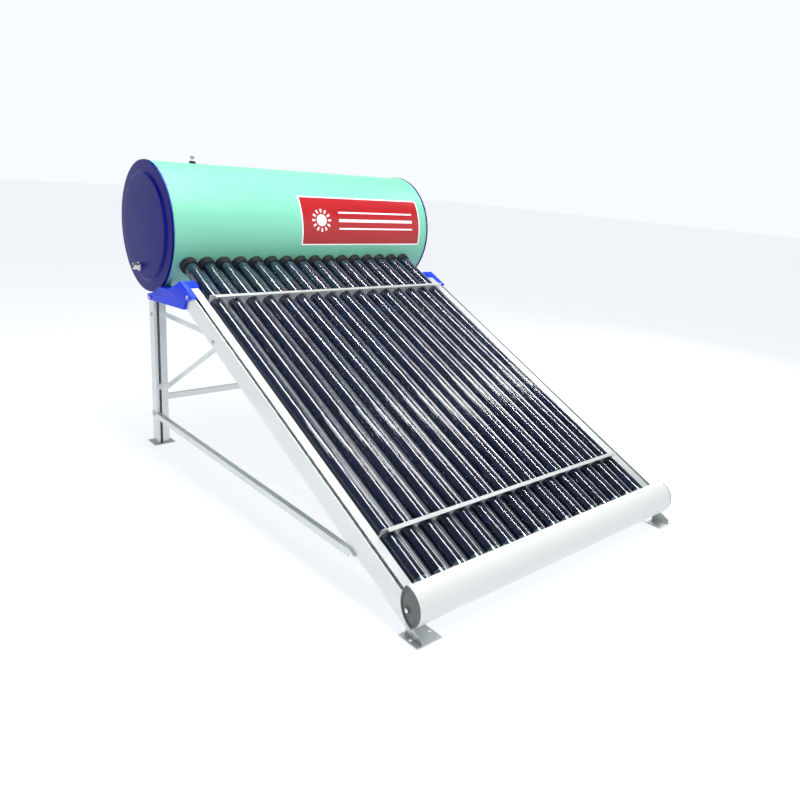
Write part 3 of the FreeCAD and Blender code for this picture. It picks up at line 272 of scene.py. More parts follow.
# %% Give the engineering pieces their finishes
FINISHES = {
    "tank_casing": casing_paint, "end_cap_": cap_paint, "inner_tank": steel, "foam": foam,
    "hot_outlet": steel, "cold_inlet": steel, "vent_pipe": steel, "vent_cap": black_rubber,
    "port_seals": seal_rubber, "dust_rings": black_rubber, "tank_studs": zinc, "frame_bolts": zinc,
    "frame_nuts": zinc, "cover_screws": zinc, "tube_cups": black_rubber, "tailstock_end": end_plate,
    "tailstock": cross_aluminium, "rear_crossbar": cross_aluminium, "upper_tube_bar": cross_aluminium,
    "lower_tube_bar": cross_aluminium, "_rear_leg": leg_aluminium, "_front_rail": aluminium,
    "_strut": leg_aluminium, "_saddle": saddle_blue, "_foot": foot_metal,
}
for node_name, node in frame["nodes"].items():
    for key, material in FINISHES.items():
        if key in node_name:
            node.data.materials.clear()
            node.data.materials.append(material)
            break
    else:
        print("no finish yet:", node_name)

# %% [markdown]
# ## Helpers that make pieces
# Most of this heater is either turned or extruded. A turned piece, such as a tank, a cap or a
# glass tube, is a half outline swept round an axis. An extruded piece, such as a rail or a
# bracket, is an outline pushed along a line, with its edges rounded by a Bevel modifier. Two
# helpers cover both. The vertices are written in the model's own coordinates, so that the
# noise in the finishes differs from one tube to the next.

# %% Turn an outline round an axis


def finish_mesh(name, mesh, place, material, sharp_angle=35.0):
    """Turn a bmesh into an object, with smooth faces and crisp edges."""
    mesh.transform(place)
    bmesh.ops.recalc_face_normals(mesh, faces=mesh.faces)
    data = bpy.data.meshes.new(name)
    mesh.to_mesh(data)
    mesh.free()
    data.polygons.foreach_set("use_smooth", [True] * len(data.polygons))
    data.set_sharp_from_angle(angle=math.radians(sharp_angle))
    data.materials.append(material)
    piece = bpy.data.objects.new(name, data)
    bpy.context.scene.collection.objects.link(piece)
    return piece


def turned(name, outline, place, material, steps=96, closed=True, sharp_angle=35.0):
    """Sweep (along, radius) points round the local z axis of place."""
    mesh = bmesh.new()
    rings = []
    for along, radius in outline:
        if radius < 1e-6:
            rings.append([mesh.verts.new((0, 0, along))])
            continue
        angles = [math.tau * i / steps for i in range(steps)]
        rings.append([mesh.verts.new((radius * math.cos(a), radius * math.sin(a), along)) for a in angles])
    followers = rings[1:] + (rings[:1] if closed else [])
    for ring, following in zip(rings, followers):
        for i in range(steps):
            j = (i + 1) % steps
            if len(ring) == 1 and len(following) == 1:
                continue
            if len(ring) == 1:
                mesh.faces.new((ring[0], following[i], following[j]))
            elif len(following) == 1:
                mesh.faces.new((ring[i], ring[j], following[0]))
            else:
                mesh.faces.new((ring[i], ring[j], following[j], following[i]))
    return finish_mesh(name, mesh, place, material, sharp_angle)


def bend(centre, radius, start, end, count=8):
    """Points on an arc, as (along, radius) pairs; the angles are in degrees."""
    return [(centre[0] + radius * math.cos(math.radians(start + (end - start) * i / count)),
             centre[1] + radius * math.sin(math.radians(start + (end - start) * i / count)))
            for i in range(count + 1)]


# %% Extrude an outline and cut holes


def extruded(name, outline, depth, place, material, edge=0.0015, segments=2):
    """Push a flat outline along the local z axis, then round its edges."""
    mesh = bmesh.new()
    near = [mesh.verts.new((x, y, 0)) for x, y in outline]
    far = [mesh.verts.new((x, y, depth)) for x, y in outline]
    mesh.faces.new(near[::-1])
    mesh.faces.new(far)
    for i in range(len(outline)):
        j = (i + 1) % len(outline)
        mesh.faces.new((near[i], near[j], far[j], far[i]))
    piece = finish_mesh(name, mesh, place, material)
    if edge:
        rounding = piece.modifiers.new("rounded_edges", "BEVEL")
        rounding.width = edge
        rounding.segments = segments
        rounding.limit_method = "ANGLE"
        rounding.angle_limit = math.radians(30)
        rounding.harden_normals = True
    return piece


def apply_modifiers(piece):
    """Fix the modifiers' result into the mesh."""
    depsgraph = bpy.context.evaluated_depsgraph_get()
    made = bpy.data.meshes.new_from_object(piece.evaluated_get(depsgraph))
    piece.modifiers.clear()
    piece.data = made
    return piece


def cut_holes(piece, cutters, sharp_angle=35.0):
    """Subtract the cutters from a piece, then throw them away."""
    for cutter in cutters:
        hole = piece.modifiers.new("hole", "BOOLEAN")
        hole.operation = "DIFFERENCE"
        hole.object = cutter
        hole.solver = "EXACT"
    apply_modifiers(piece)
    for cutter in cutters:
        bpy.data.objects.remove(cutter)
    piece.data.polygons.foreach_set("use_smooth", [True] * len(piece.data.polygons))
    piece.data.set_sharp_from_angle(angle=math.radians(sharp_angle))
    return piece


def belongs(piece, body, slot, *nodes):
    """Say which body a piece moves with and the nodes it stands for; the slot argument is not used."""
    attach(piece, body)
    if nodes:
        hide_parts(*nodes)
    return piece


# %% [markdown]
# ## The tank's casing
# The casing is a sheet-metal drum, rolled up and closed with a folded seam, with a bead
# pressed in beside each end to stiffen it. It is turned from its section, bead and all, and
# the sixteen ports are then cut along the slope of the tubes.

# %% Casing
CASING_RADIUS = 0.262
CASING_WALL = 0.0015
BEAD_RADIUS = 0.004
BEAD_SINK = 0.62
CAP_OVERLAP = 0.004
BEAD_INSET = 0.001
left_edge = casing_low.x
right_edge = casing_high.x
bead_offset = CAP_OVERLAP + BEAD_INSET + BEAD_RADIUS
beads = [left_edge + bead_offset, right_edge - bead_offset]
section = [(left_edge, CASING_RADIUS - CASING_WALL), (left_edge, CASING_RADIUS)]
for bead_x in beads:
    section += bend((bead_x, CASING_RADIUS - BEAD_RADIUS * BEAD_SINK), BEAD_RADIUS, 150, 30, 8)
section += [(right_edge, CASING_RADIUS), (right_edge, CASING_RADIUS - CASING_WALL)]
casing = turned("tank_casing_shell", section, ALONG_TANK, casing_paint, steps=192)

# %% Ports
PORT_RADIUS = 0.033
PORT_START, PORT_STOP = 0.2, 0.3
port_outline = [(PORT_START, 0), (PORT_START, PORT_RADIUS), (PORT_STOP, PORT_RADIUS), (PORT_STOP, 0)]
port_cutters = [turned("port_cutter", port_outline, along_tube(x), casing_paint, steps=48, closed=False)
                for x in TUBE_XS]
cut_holes(casing, port_cutters)
belongs(casing, "heater", "casing_paint", "tank_casing")
print("casing faces:", len(casing.data.polygons))

# %% Seam
SEAM_HEIGHT = 0.0012
SEAM_ANGLE = 205.0
SEAM_INSET = 0.01
seam_outline = bend((0, 0), CASING_RADIUS, SEAM_ANGLE - 1, SEAM_ANGLE + 1, 4)
seam_outline += bend((0, 0), CASING_RADIUS + SEAM_HEIGHT, SEAM_ANGLE + 0.8, SEAM_ANGLE - 0.8, 4)
seam_start = Matrix.Translation(Vector((0, 0, beads[0] + SEAM_INSET)))
seam_place = ALONG_TANK @ Matrix.Rotation(math.pi, 4, "Z") @ seam_start
seam_length = beads[1] - beads[0] - 2 * SEAM_INSET
seam = extruded("casing_seam", seam_outline, seam_length, seam_place, casing_paint, edge=0.0004)
belongs(seam, "heater", "casing_paint")
print("seam %.3f m long" % seam_length)

# %% [markdown]
# ## The end caps
# Each cap is pressed from sheet: a rim that slips over the casing, a rolled edge, a flat ring
# and a raised disc with soft shoulders. The disc is very slightly domed, as pressed sheet is,
# and that dome is what gives the navy face its soft change of tone.

# %% End caps
CAP_RADIUS = 0.2643
CAP_FACE = 0.005
CAP_DISC = 0.009
DISC_RADIUS = 0.214
DISC_DOME = 0.003
CAP_CORNER = 0.0035
CAP_WALL = 0.002
SHOULDER = 0.005
FACE_RINGS = 12


def end_cap(name, direction, casing_end, node):
    """A cap on the casing's end; direction is -1 on the left and 1 on the right."""
    outer = [(-CAP_OVERLAP, CAP_RADIUS - CAP_WALL)]
    outer += bend((-CAP_OVERLAP + 0.0012, CAP_RADIUS - 0.0008), 0.0012, 180, 60, 5)
    outer += bend((CAP_FACE - CAP_CORNER, CAP_RADIUS - CAP_CORNER), CAP_CORNER, 90, 0, 8)
    outer += [(CAP_FACE, DISC_RADIUS + 0.012)]
    outer += [(CAP_FACE + 0.0006, DISC_RADIUS + 0.0075), (CAP_FACE + 0.0022, DISC_RADIUS + 0.0045),
              (CAP_FACE + CAP_DISC - 0.0026, DISC_RADIUS - 0.0005)]
    outer += bend((CAP_FACE + CAP_DISC - SHOULDER, DISC_RADIUS - SHOULDER), SHOULDER, 60, 4, 5)
    face = CAP_FACE + CAP_DISC
    for i in range(1, FACE_RINGS + 1):
        share = i / FACE_RINGS
        outer.append((face + DISC_DOME * (1 - (1 - share) ** 2) * 0.9, (DISC_RADIUS - SHOULDER) * (1 - share)))
    inner = [(along - CAP_WALL, radius) for along, radius in outer[::-1][:FACE_RINGS + 1]]
    inner += [(CAP_FACE - CAP_WALL, DISC_RADIUS + 0.006), (CAP_FACE - CAP_WALL, CAP_RADIUS - CAP_WALL - 0.002)]
    profile = [(casing_end + direction * along, radius) for along, radius in outer + inner]
    cap = turned(name, profile, ALONG_TANK, cap_paint, steps=160, sharp_angle=50)
    return belongs(cap, "heater", "cap_paint", node)


end_cap("left_cap_pressing", -1, left_edge, "end_cap_left")
end_cap("right_cap_pressing", 1, right_edge, "end_cap_right")
print("caps at x %.3f and %.3f" % (left_edge, right_edge))

# %% [markdown]
# ## Pipe stubs and the vent
# A threaded stub comes through each cap for the pipes, with a lock nut behind the thread. A
# thread seen from a metre away is a row of fine ridges, so it is turned as ridges and not cut
# as a true screw. The vent on top is a thin pipe in a rubber boot, with a small cap.

# %% Pipe stubs
STUB_RADIUS = 0.0132
STUB_BORE = 0.0095
THREAD_PITCH = 0.0018
THREAD_DEPTH = 0.0009
THREAD_LENGTH = 0.024
LOCK_NUT_BACK = 0.0302


def pipe_stub(name, node, direction):
    """A threaded stub with a lock nut, along the tank's axis."""
    low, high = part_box(node)
    middle = (low + high) / 2
    tip = low.x if direction < 0 else high.x
    root = high.x if direction < 0 else low.x
    length = abs(tip - root)
    outwards = Matrix.Rotation(direction * math.pi / 2, 4, "Y")
    place = Matrix.Translation(Vector((root, middle.y, middle.z))) @ outwards
    thread_start = length - THREAD_LENGTH
    outline = [(0, STUB_BORE), (0, STUB_RADIUS - THREAD_DEPTH), (thread_start, STUB_RADIUS - THREAD_DEPTH)]
    ridge = thread_start
    while ridge < length - THREAD_PITCH:
        outline += [(ridge + THREAD_PITCH * 0.5, STUB_RADIUS),
                    (ridge + THREAD_PITCH, STUB_RADIUS - THREAD_DEPTH)]
        ridge += THREAD_PITCH
    outline += [(length - 0.0003, STUB_RADIUS - THREAD_DEPTH), (length, STUB_BORE + 0.0005),
                (length, STUB_BORE)]
    stub = turned(name, outline, place, steel, steps=48, sharp_angle=25)
    belongs(stub, "heater", "tank_steel", node)
    nut_outline = [(0, STUB_RADIUS - 0.0006), (0, 0.0195), (0.0012, 0.021), (0.0048, 0.021), (0.006, 0.0195),
                   (0.006, STUB_RADIUS - 0.0006)]
    nut_place = place @ Matrix.Translation(Vector((0, 0, length - LOCK_NUT_BACK)))
    nut = turned(name + "_lock_nut", nut_outline, nut_place, steel, steps=6, sharp_angle=20)
    return belongs(nut, "heater", "tank_steel")


pipe_stub("hot_outlet_stub", "hot_outlet_nipple", -1)
pipe_stub("cold_inlet_stub", "cold_inlet_nipple", 1)
print("two stubs with a thread pitch of %.1f mm" % (THREAD_PITCH * 1000))

# %% Vent
vent_low, vent_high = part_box("vent_pipe")
vent_x = (vent_low.x + vent_high.x) / 2
vent_place = Matrix.Translation(Vector((vent_x, AXIS_Y, 0)))
boot_base = AXIS_Z + CASING_RADIUS - 0.0006
STEM_BORE, STEM_RADIUS = 0.003, 0.005
stem_outline = [(vent_low.z, STEM_BORE), (vent_low.z, STEM_RADIUS), (vent_high.z, STEM_RADIUS),
                (vent_high.z, STEM_BORE)]
stem = turned("vent_stem", stem_outline, vent_place, steel, steps=32)
belongs(stem, "heater", "tank_steel", "vent_pipe")
boot_outline = [(boot_base, 0.0051), (boot_base, 0.014), (boot_base + 0.0015, 0.0142)]
boot_outline += bend((boot_base + 0.0035, 0.009), 0.005, 110, 0, 6)
boot_outline += [(boot_base + 0.0095, 0.0068), (boot_base + 0.0098, 0.0051)]
boot = turned("vent_boot", boot_outline, vent_place, black_rubber, steps=48)
belongs(boot, "heater", "black_rubber")
knob_low, knob_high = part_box("vent_cap")
knob_outline = [(knob_low.z, 0.0051), (knob_low.z, 0.0066), (knob_low.z + 0.002, 0.0078)]
knob_outline += bend((knob_high.z - 0.003, 0.005), 0.003, 90, 0, 5)
knob_outline += [(knob_high.z, 0.0), (knob_high.z - 0.003, 0.0), (knob_high.z - 0.003, 0.0051)]
knob = turned("vent_knob", knob_outline, vent_place, knob_plastic, steps=24, sharp_angle=25)
belongs(knob, "heater", "black_rubber", "vent_cap")
print("vent top at z %.3f" % knob_high.z)

# %% [markdown]
# ## The front label
# A printed film is wrapped on the front of the casing. Here it is a plain red panel with a
# thin pale margin, a simple sun and three bars, without any words. The film is a thin curved
# sheet. Its map coordinates run from 0 to 1 along and up it, and the finish draws the margin,
# the sun and the bars from them with a little arithmetic.

# %% Label finish
MARGIN = 0.006
SUN_ACROSS = 0.105
SUN_RADIUS = 0.026
RAY_START, RAY_STOP = 0.034, 0.05
RAY_COUNT = 12
RAY_SHARE = 0.35
BARS_START, BARS_INSET = 0.2, 0.05
BARS = ((0.036, 0.0035), (0.0, 0.0065), (-0.036, 0.0035))
MIX_FIRST, MIX_SECOND, MIX_RESULT = 6, 7, 2


def label_finish(width, height):
    """Red film with a pale margin and a sun, drawn from the sheet's own map."""
    material = surface("label_film", linear(158, 14, 22), 0.3, mottle=0.05, mottle_scale=5, grain_scale=500,
                       bump=0.03, coat=0.3)
    tree = material.node_tree
    shader = tree.nodes["Principled BSDF"]
    red = shader.inputs["Base Color"].links[0].from_socket

    def math_node(operation, *values):
        node = tree.nodes.new("ShaderNodeMath")
        node.operation = operation
        for socket, value in zip(node.inputs, values):
            if isinstance(value, (int, float)):
                socket.default_value = value
            else:
                tree.links.new(value, socket)
        return node.outputs["Value"]

    sheet_map = tree.nodes.new("ShaderNodeUVMap")
    sheet_map.uv_map = "sheet"
    split_map = tree.nodes.new("ShaderNodeSeparateXYZ")
    tree.links.new(sheet_map.outputs["UV"], split_map.inputs["Vector"])
    across = math_node("MULTIPLY", split_map.outputs["X"], width)
    upward = math_node("MULTIPLY", split_map.outputs["Y"], height)
    from_side = math_node("MINIMUM", across, math_node("SUBTRACT", width, across))
    from_edge = math_node("MINIMUM", upward, math_node("SUBTRACT", height, upward))
    margin = math_node("LESS_THAN", math_node("MINIMUM", from_side, from_edge), MARGIN)
    sun_x = math_node("SUBTRACT", across, SUN_ACROSS)
    sun_y = math_node("SUBTRACT", upward, height / 2)
    squares = [math_node("MULTIPLY", part, part) for part in (sun_x, sun_y)]
    reach = math_node("SQRT", math_node("ADD", *squares))
    disc = math_node("LESS_THAN", reach, SUN_RADIUS)
    angle = math_node("ARCTAN2", sun_y, sun_x)
    waves = math_node("COSINE", math_node("MULTIPLY", angle, RAY_COUNT))
    petals = math_node("GREATER_THAN", waves, RAY_SHARE)
    ring = math_node("MULTIPLY", math_node("GREATER_THAN", reach, RAY_START),
                     math_node("LESS_THAN", reach, RAY_STOP))
    rays = math_node("MULTIPLY", petals, ring)
    bar_span = math_node("MULTIPLY", math_node("GREATER_THAN", across, BARS_START),
                         math_node("LESS_THAN", across, width - BARS_INSET))
    bars = 0
    for offset, thick in BARS:
        away = math_node("ABSOLUTE", math_node("SUBTRACT", sun_y, offset))
        bar = math_node("MULTIPLY", math_node("LESS_THAN", away, thick), bar_span)
        bars = bar if bars == 0 else math_node("MAXIMUM", bars, bar)
    pale = math_node("MAXIMUM", math_node("MAXIMUM", margin, disc), math_node("MAXIMUM", rays, bars))
    blend = tree.nodes.new("ShaderNodeMix")
    blend.data_type = "RGBA"
    tree.links.new(pale, blend.inputs["Factor"])
    tree.links.new(red, blend.inputs[MIX_FIRST])
    blend.inputs[MIX_SECOND].default_value = linear(236, 232, 232)
    tree.links.new(blend.outputs[MIX_RESULT], shader.inputs["Base Color"])
    return material


# %% Label sheet
LABEL_FLOOR, LABEL_LIFT = 0.00012, 0.0006
LABEL_LOW, LABEL_HIGH = math.radians(-10.5), math.radians(37.5)
label_low, label_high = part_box("front_label")
label_width = label_high.x - label_low.x
label_height = CASING_RADIUS * (LABEL_HIGH - LABEL_LOW)
LABEL_ROWS = 40
sheet_mesh = bmesh.new()
sheet_uv = sheet_mesh.loops.layers.uv.new("sheet")
grid = []
for lift in (LABEL_FLOOR, LABEL_LIFT):
    rows = []
    for i in range(LABEL_ROWS + 1):
        angle = LABEL_LOW + (LABEL_HIGH - LABEL_LOW) * i / LABEL_ROWS
        radius = CASING_RADIUS + lift
        y, z = AXIS_Y - radius * math.cos(angle), AXIS_Z + radius * math.sin(angle)
        rows.append([sheet_mesh.verts.new((x, y, z)) for x in (label_low.x, label_high.x)])
    grid.append(rows)
inner_rows, outer_rows = grid
for i in range(LABEL_ROWS):
    for rows in grid:
        face = sheet_mesh.faces.new((rows[i][0], rows[i][1], rows[i + 1][1], rows[i + 1][0]))
        for loop, (u, v) in zip(face.loops, ((0, i), (1, i), (1, i + 1), (0, i + 1))):
            loop[sheet_uv].uv = (u, v / LABEL_ROWS)
    for side in (0, 1):
        face = sheet_mesh.faces.new((inner_rows[i][side], outer_rows[i][side], outer_rows[i + 1][side],
                                     inner_rows[i + 1][side]))
        for loop in face.loops:
            loop[sheet_uv].uv = (side, 0.5)
for i in (0, LABEL_ROWS):
    face = sheet_mesh.faces.new((inner_rows[i][0], inner_rows[i][1], outer_rows[i][1], outer_rows[i][0]))
    for loop in face.loops:
        loop[sheet_uv].uv = (0.5, 0 if i == 0 else 1)
label = finish_mesh("label_sheet", sheet_mesh, Matrix.Identity(4), label_finish(label_width, label_height))
belongs(label, "heater", "label_film", "front_label")
print("label %.0f x %.0f mm" % (label_width * 1000, label_height * 1000))

# %% [markdown]
# ## The evacuated tubes
# Each tube is two glass tubes, one inside the other, with nothing between them. The inner one
# carries a dark blue-black coating that soaks up sunlight. The outer one is clear, with a
# round end, a pinched-off sealing tip and, near that end, a silvery mirror that shows the
# vacuum is good. A small metal clip behind the mirror holds the inner tube's end. The glass is
# turned as a real wall with two surfaces, so light bends through it and both catch the lamps.

# %% Glass and coating finishes
tube_glass = bpy.data.materials.new("tube_glass")
tube_glass.use_nodes = True
glass_shader = tube_glass.node_tree.nodes["Principled BSDF"]
glass_shader.inputs["Base Color"].default_value = (0.94, 0.975, 0.985, 1)
glass_shader.inputs["Transmission Weight"].default_value = 1.0
glass_shader.inputs["IOR"].default_value = 1.47
glass_place = tube_glass.node_tree.nodes.new("ShaderNodeTexCoord")
glass_noise = tube_glass.node_tree.nodes.new("ShaderNodeTexNoise")
glass_noise.inputs["Scale"].default_value = 260
glass_noise.inputs["Detail"].default_value = 5
glass_film = tube_glass.node_tree.nodes.new("ShaderNodeMapRange")
glass_film.inputs["From Min"].default_value = 0.4
glass_film.inputs["From Max"].default_value = 0.75
glass_film.inputs["To Min"].default_value = 0.035
glass_film.inputs["To Max"].default_value = 0.05
tube_glass.node_tree.links.new(glass_place.outputs["Object"], glass_noise.inputs["Vector"])
tube_glass.node_tree.links.new(glass_noise.outputs["Fac"], glass_film.inputs["Value"])
tube_glass.node_tree.links.new(glass_film.outputs["Result"], glass_shader.inputs["Roughness"])
absorber_coating = surface("absorber_coating", (0.001, 0.008, 0.045, 1), 0.42, mottle=0.25, mottle_scale=7,
                           grain_scale=220, rough_spread=0.04, bump=0.0, gloss=0.25)
getter_mirror = surface("getter_mirror", (0.34, 0.42, 0.43, 1), 0.24, metallic=1.0, mottle=0.3, mottle_scale=35,
                        bump=0.01)

# %% Tubes
TUBE_RADIUS = 0.029
GLASS_WALL = 0.0018
ABSORBER_RADIUS = 0.0264
TUBE_TOP = 0.140
TUBE_END = 1.940
ABSORBER_END = TUBE_END - 0.040


def round_end(end, radius, count=14):
    """The last quarter turn of a tube's outline, up to its axis."""
    points = bend((end - radius, 0), radius, 90, 0, count)
    return points[:-1] + [(end, 0.0)]


outer_glass = [(TUBE_TOP, TUBE_RADIUS - GLASS_WALL), (TUBE_TOP + 0.0004, TUBE_RADIUS - 0.0003),
               (TUBE_TOP + 0.002, TUBE_RADIUS)]
outer_glass += bend((TUBE_END - TUBE_RADIUS, 0), TUBE_RADIUS, 90, 14, 14)
outer_glass += [(TUBE_END + 0.001, 0.0046), (TUBE_END + 0.005, 0.0034), (TUBE_END + 0.008, 0.0018),
                (TUBE_END + 0.009, 0.0)]
glass_bore = round_end(TUBE_END - GLASS_WALL, TUBE_RADIUS - GLASS_WALL)[::-1]
coated = [(TUBE_TOP, ABSORBER_RADIUS - GLASS_WALL), (TUBE_TOP, TUBE_RADIUS - GLASS_WALL - 0.0001),
          (TUBE_TOP + 0.003, TUBE_RADIUS - GLASS_WALL - 0.0001), (TUBE_TOP + 0.006, ABSORBER_RADIUS)]
coated += round_end(ABSORBER_END, ABSORBER_RADIUS)
coated += round_end(ABSORBER_END - GLASS_WALL, ABSORBER_RADIUS - GLASS_WALL)[::-1]

# %% The mirror, the clip and all sixteen tubes
MIRROR_START = 1.876
MIRROR_WALL = 0.0002
mirror_radius = TUBE_RADIUS - GLASS_WALL - MIRROR_WALL
mirror_centre = TUBE_END - TUBE_RADIUS
mirror = [(MIRROR_START, mirror_radius)] + bend((mirror_centre, 0), mirror_radius, 90, 25, 10)
mirror += bend((mirror_centre, 0), mirror_radius - MIRROR_WALL, 25, 90, 10)
mirror += [(MIRROR_START, mirror_radius - MIRROR_WALL)]
CLIP_START = ABSORBER_END - 0.004
CLIP_RADIUS = 0.021
clip = [(CLIP_START, CLIP_RADIUS - 0.001), (CLIP_START, CLIP_RADIUS), (CLIP_START + 0.012, CLIP_RADIUS),
        (CLIP_START + 0.020, 0.014), (CLIP_START + 0.020, 0.013), (CLIP_START + 0.0115, CLIP_RADIUS - 0.001)]
for number, (node_name, x) in enumerate(zip(TUBE_NAMES, TUBE_XS), start=1):
    body = "tube_%02d" % number
    place = along_tube(x)
    glass = turned("glass_%02d" % number, outer_glass + glass_bore, place, tube_glass, steps=64)
    belongs(glass, body, "tube_glass", node_name)
    coating = turned("absorber_%02d" % number, coated, place, absorber_coating, steps=64)
    belongs(coating, body, "tube_glass", node_name)
    for name, outline in (("mirror_%02d", mirror), ("clip_%02d", clip)):
        shiny = turned(name % number, outline, place, getter_mirror, steps=48)
        belongs(shiny, body, "tube_glass", node_name)
print("tubes:", len(TUBE_XS))

# %% [markdown]
# ## Rubber collars
# A rubber collar closes the gap round each tube where it enters the casing. It is turned with
# a wide flange against the casing, a waist, and a rounded lip that grips the glass.

# %% Collars
collar_outline = [(0.2560, 0.0293), (0.2560, 0.0358), (0.2640, 0.0360), (0.2675, 0.0352), (0.2700, 0.0340),
                  (0.2725, 0.0340)]
collar_outline += bend((0.2790, 0.0310), 0.0050, 125, 20, 10)
collar_outline += bend((0.2870, 0.0312), 0.0024, 90, -20, 6)
collar_outline += [(0.2885, 0.0293)]
for number, x in enumerate(TUBE_XS, start=1):
    collar = turned("collar_%02d" % number, collar_outline, along_tube(x), black_rubber, steps=64)
    belongs(collar, "heater", "black_rubber", "dust_rings")
print("collars:", len(TUBE_XS))

# %% [markdown]
# ## The saddles
# A bright blue cradle at each side carries the tank. It sits on the rear leg and caps the top
# of the sloping rail. Its side is an outline with a curved seat, so it is extruded across, its
# edges are rounded, and sockets are cut for the leg and the rail. The outline is written in the
# model's own y and z, worked out from the slope.

# %% Saddles
SEAT_RADIUS = 0.2626
CAP_ROOM = 0.270
SADDLE_CORNERS = ((0.464, -0.085), (0.466, -0.046), (0.512, -0.0025), (0.512, 0.0), (0.398, 0.0),
                  (0.361, -0.040), (0.312, -0.096))
saddle_low, saddle_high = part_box("left_tank_saddle")
saddle_width = saddle_high.x - saddle_low.x
SEAT_START, SEAT_STOP, SEAT_STEPS = 57.5, 82.12, 16
seat_angles = [SEAT_START + (SEAT_STOP - SEAT_START) * i / SEAT_STEPS for i in range(SEAT_STEPS + 1)]
HEEL_FORWARD = 0.036
saddle_outline = [(AXIS_Y - HEEL_FORWARD, saddle_low.z)]
for s, h in SADDLE_CORNERS:
    point = down_slope(0, s, h)
    saddle_outline.append((point.y, point.z))
saddle_outline += [(AXIS_Y - SEAT_RADIUS * math.cos(math.radians(angle)),
                    AXIS_Z - SEAT_RADIUS * math.sin(math.radians(angle))) for angle in seat_angles]
ACROSS = Matrix((Vector((0, 1, 0)), Vector((0, 0, 1)), Vector((1, 0, 0)))).transposed().to_4x4()


def slope_box(name, x_low, x_high, s_low, s_high, h_low, h_high):
    """A cutting block laid out in the slope's own directions."""
    outline = [(x_low, h_low), (x_high, h_low), (x_high, h_high), (x_low, h_high)]
    place = Matrix.Translation(down_slope(0, s_low, 0)) @ Matrix(
        (Vector((1, 0, 0)), SQUARE, -UP)).transposed().to_4x4()
    return extruded(name, outline, s_high - s_low, place, saddle_blue, edge=0)


# %% Cut and place both saddles
SOCKET_GAP = 0.0006
SOCKET_BASE = 0.5
SOCKET_START, SOCKET_STOP = 0.4214, 0.56
SOCKET_LOW, SOCKET_HIGH = -0.0816, -0.0044
HOOD_START, HOOD_EDGE = 0.440, 0.033
HOOD_LOW, HOOD_HIGH = -0.12, 0.03
OVERSHOOT = 0.01
CAP_ROOM_DEPTH = 0.009
for side in ("left", "right"):
    low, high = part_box(side + "_tank_saddle")
    saddle = extruded(side + "_saddle_moulding", saddle_outline, saddle_width,
                      Matrix.Translation(Vector((low.x, 0, 0))) @ ACROSS, saddle_blue, edge=0.003, segments=3)
    apply_modifiers(saddle)
    leg_low, leg_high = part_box(side + "_rear_leg")
    rail_low, rail_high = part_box(side + "_front_rail")
    near_x, near_y = leg_low.x - SOCKET_GAP, leg_low.y - SOCKET_GAP
    far_x, far_y = leg_high.x + SOCKET_GAP, leg_high.y + SOCKET_GAP
    leg_outline = [(near_x, near_y), (far_x, near_y), (far_x, far_y), (near_x, far_y)]
    leg_socket = extruded("leg_socket", leg_outline, leg_high.z + SOCKET_GAP - SOCKET_BASE,
                          Matrix.Translation(Vector((0, 0, SOCKET_BASE))), saddle_blue, edge=0)
    rail_socket = slope_box("rail_socket", rail_low.x - SOCKET_GAP, rail_high.x + SOCKET_GAP, SOCKET_START,
                            SOCKET_STOP, SOCKET_LOW, SOCKET_HIGH)
    if side == "left":
        hood_low, hood_high = rail_high.x - HOOD_EDGE, high.x + OVERSHOOT
    else:
        hood_low, hood_high = low.x - OVERSHOOT, rail_low.x + HOOD_EDGE
    cutters = [leg_socket, rail_socket,
               slope_box("hood_edge", hood_low, hood_high, HOOD_START, SOCKET_STOP, HOOD_LOW, HOOD_HIGH)]
    if side == "left":
        room_low, room_high = low.x - OVERSHOOT, left_edge + CAP_ROOM_DEPTH
        room_outline = [(room_low, 0), (room_low, CAP_ROOM), (room_high, CAP_ROOM), (room_high, 0)]
        cutters.append(turned("cap_room", room_outline, ALONG_TANK, saddle_blue, steps=96, closed=False))
    cut_holes(saddle, cutters)
    belongs(saddle, "heater", "saddle_blue", side + "_tank_saddle")
    print(side, "saddle faces:", len(saddle.data.polygons))

# %% [markdown]
# ## The tailstock cover
# A curved sheet closes the front of the bar that carries the lower ends of the tubes. It is one
# arc in section with a thin hem folded in at the top edge, extruded right across the frame.

# %% Tailstock cover
COVER_WALL = 0.0015


def circle_through(first, second, third):
    """Centre and radius of the circle through three (s, h) points."""
    (ax, ay), (bx, by), (cx, cy) = first, second, third
    d = 2 * (ax * (by - cy) + bx * (cy - ay) + cx * (ay - by))
    aa, bb, cc = ax ** 2 + ay ** 2, bx ** 2 + by ** 2, cx ** 2 + cy ** 2
    ux = (aa * (by - cy) + bb * (cy - ay) + cc * (ay - by)) / d
    uy = (aa * (cx - bx) + bb * (ax - cx) + cc * (bx - ax)) / d
    return (ux, uy), math.hypot(ax - ux, ay - uy)


COVER_TOP, COVER_NOSE, COVER_FOOT = (1.900, 0.035), (1.967, 0.018), (1.979, -0.0615)
cover_centre, cover_radius = circle_through(COVER_TOP, COVER_NOSE, COVER_FOOT)


def cover_angle(s, h):
    """The direction of the point (s, h) from the cover's centre, in degrees."""
    return math.degrees(math.atan2(h - cover_centre[1], s - cover_centre[0]))


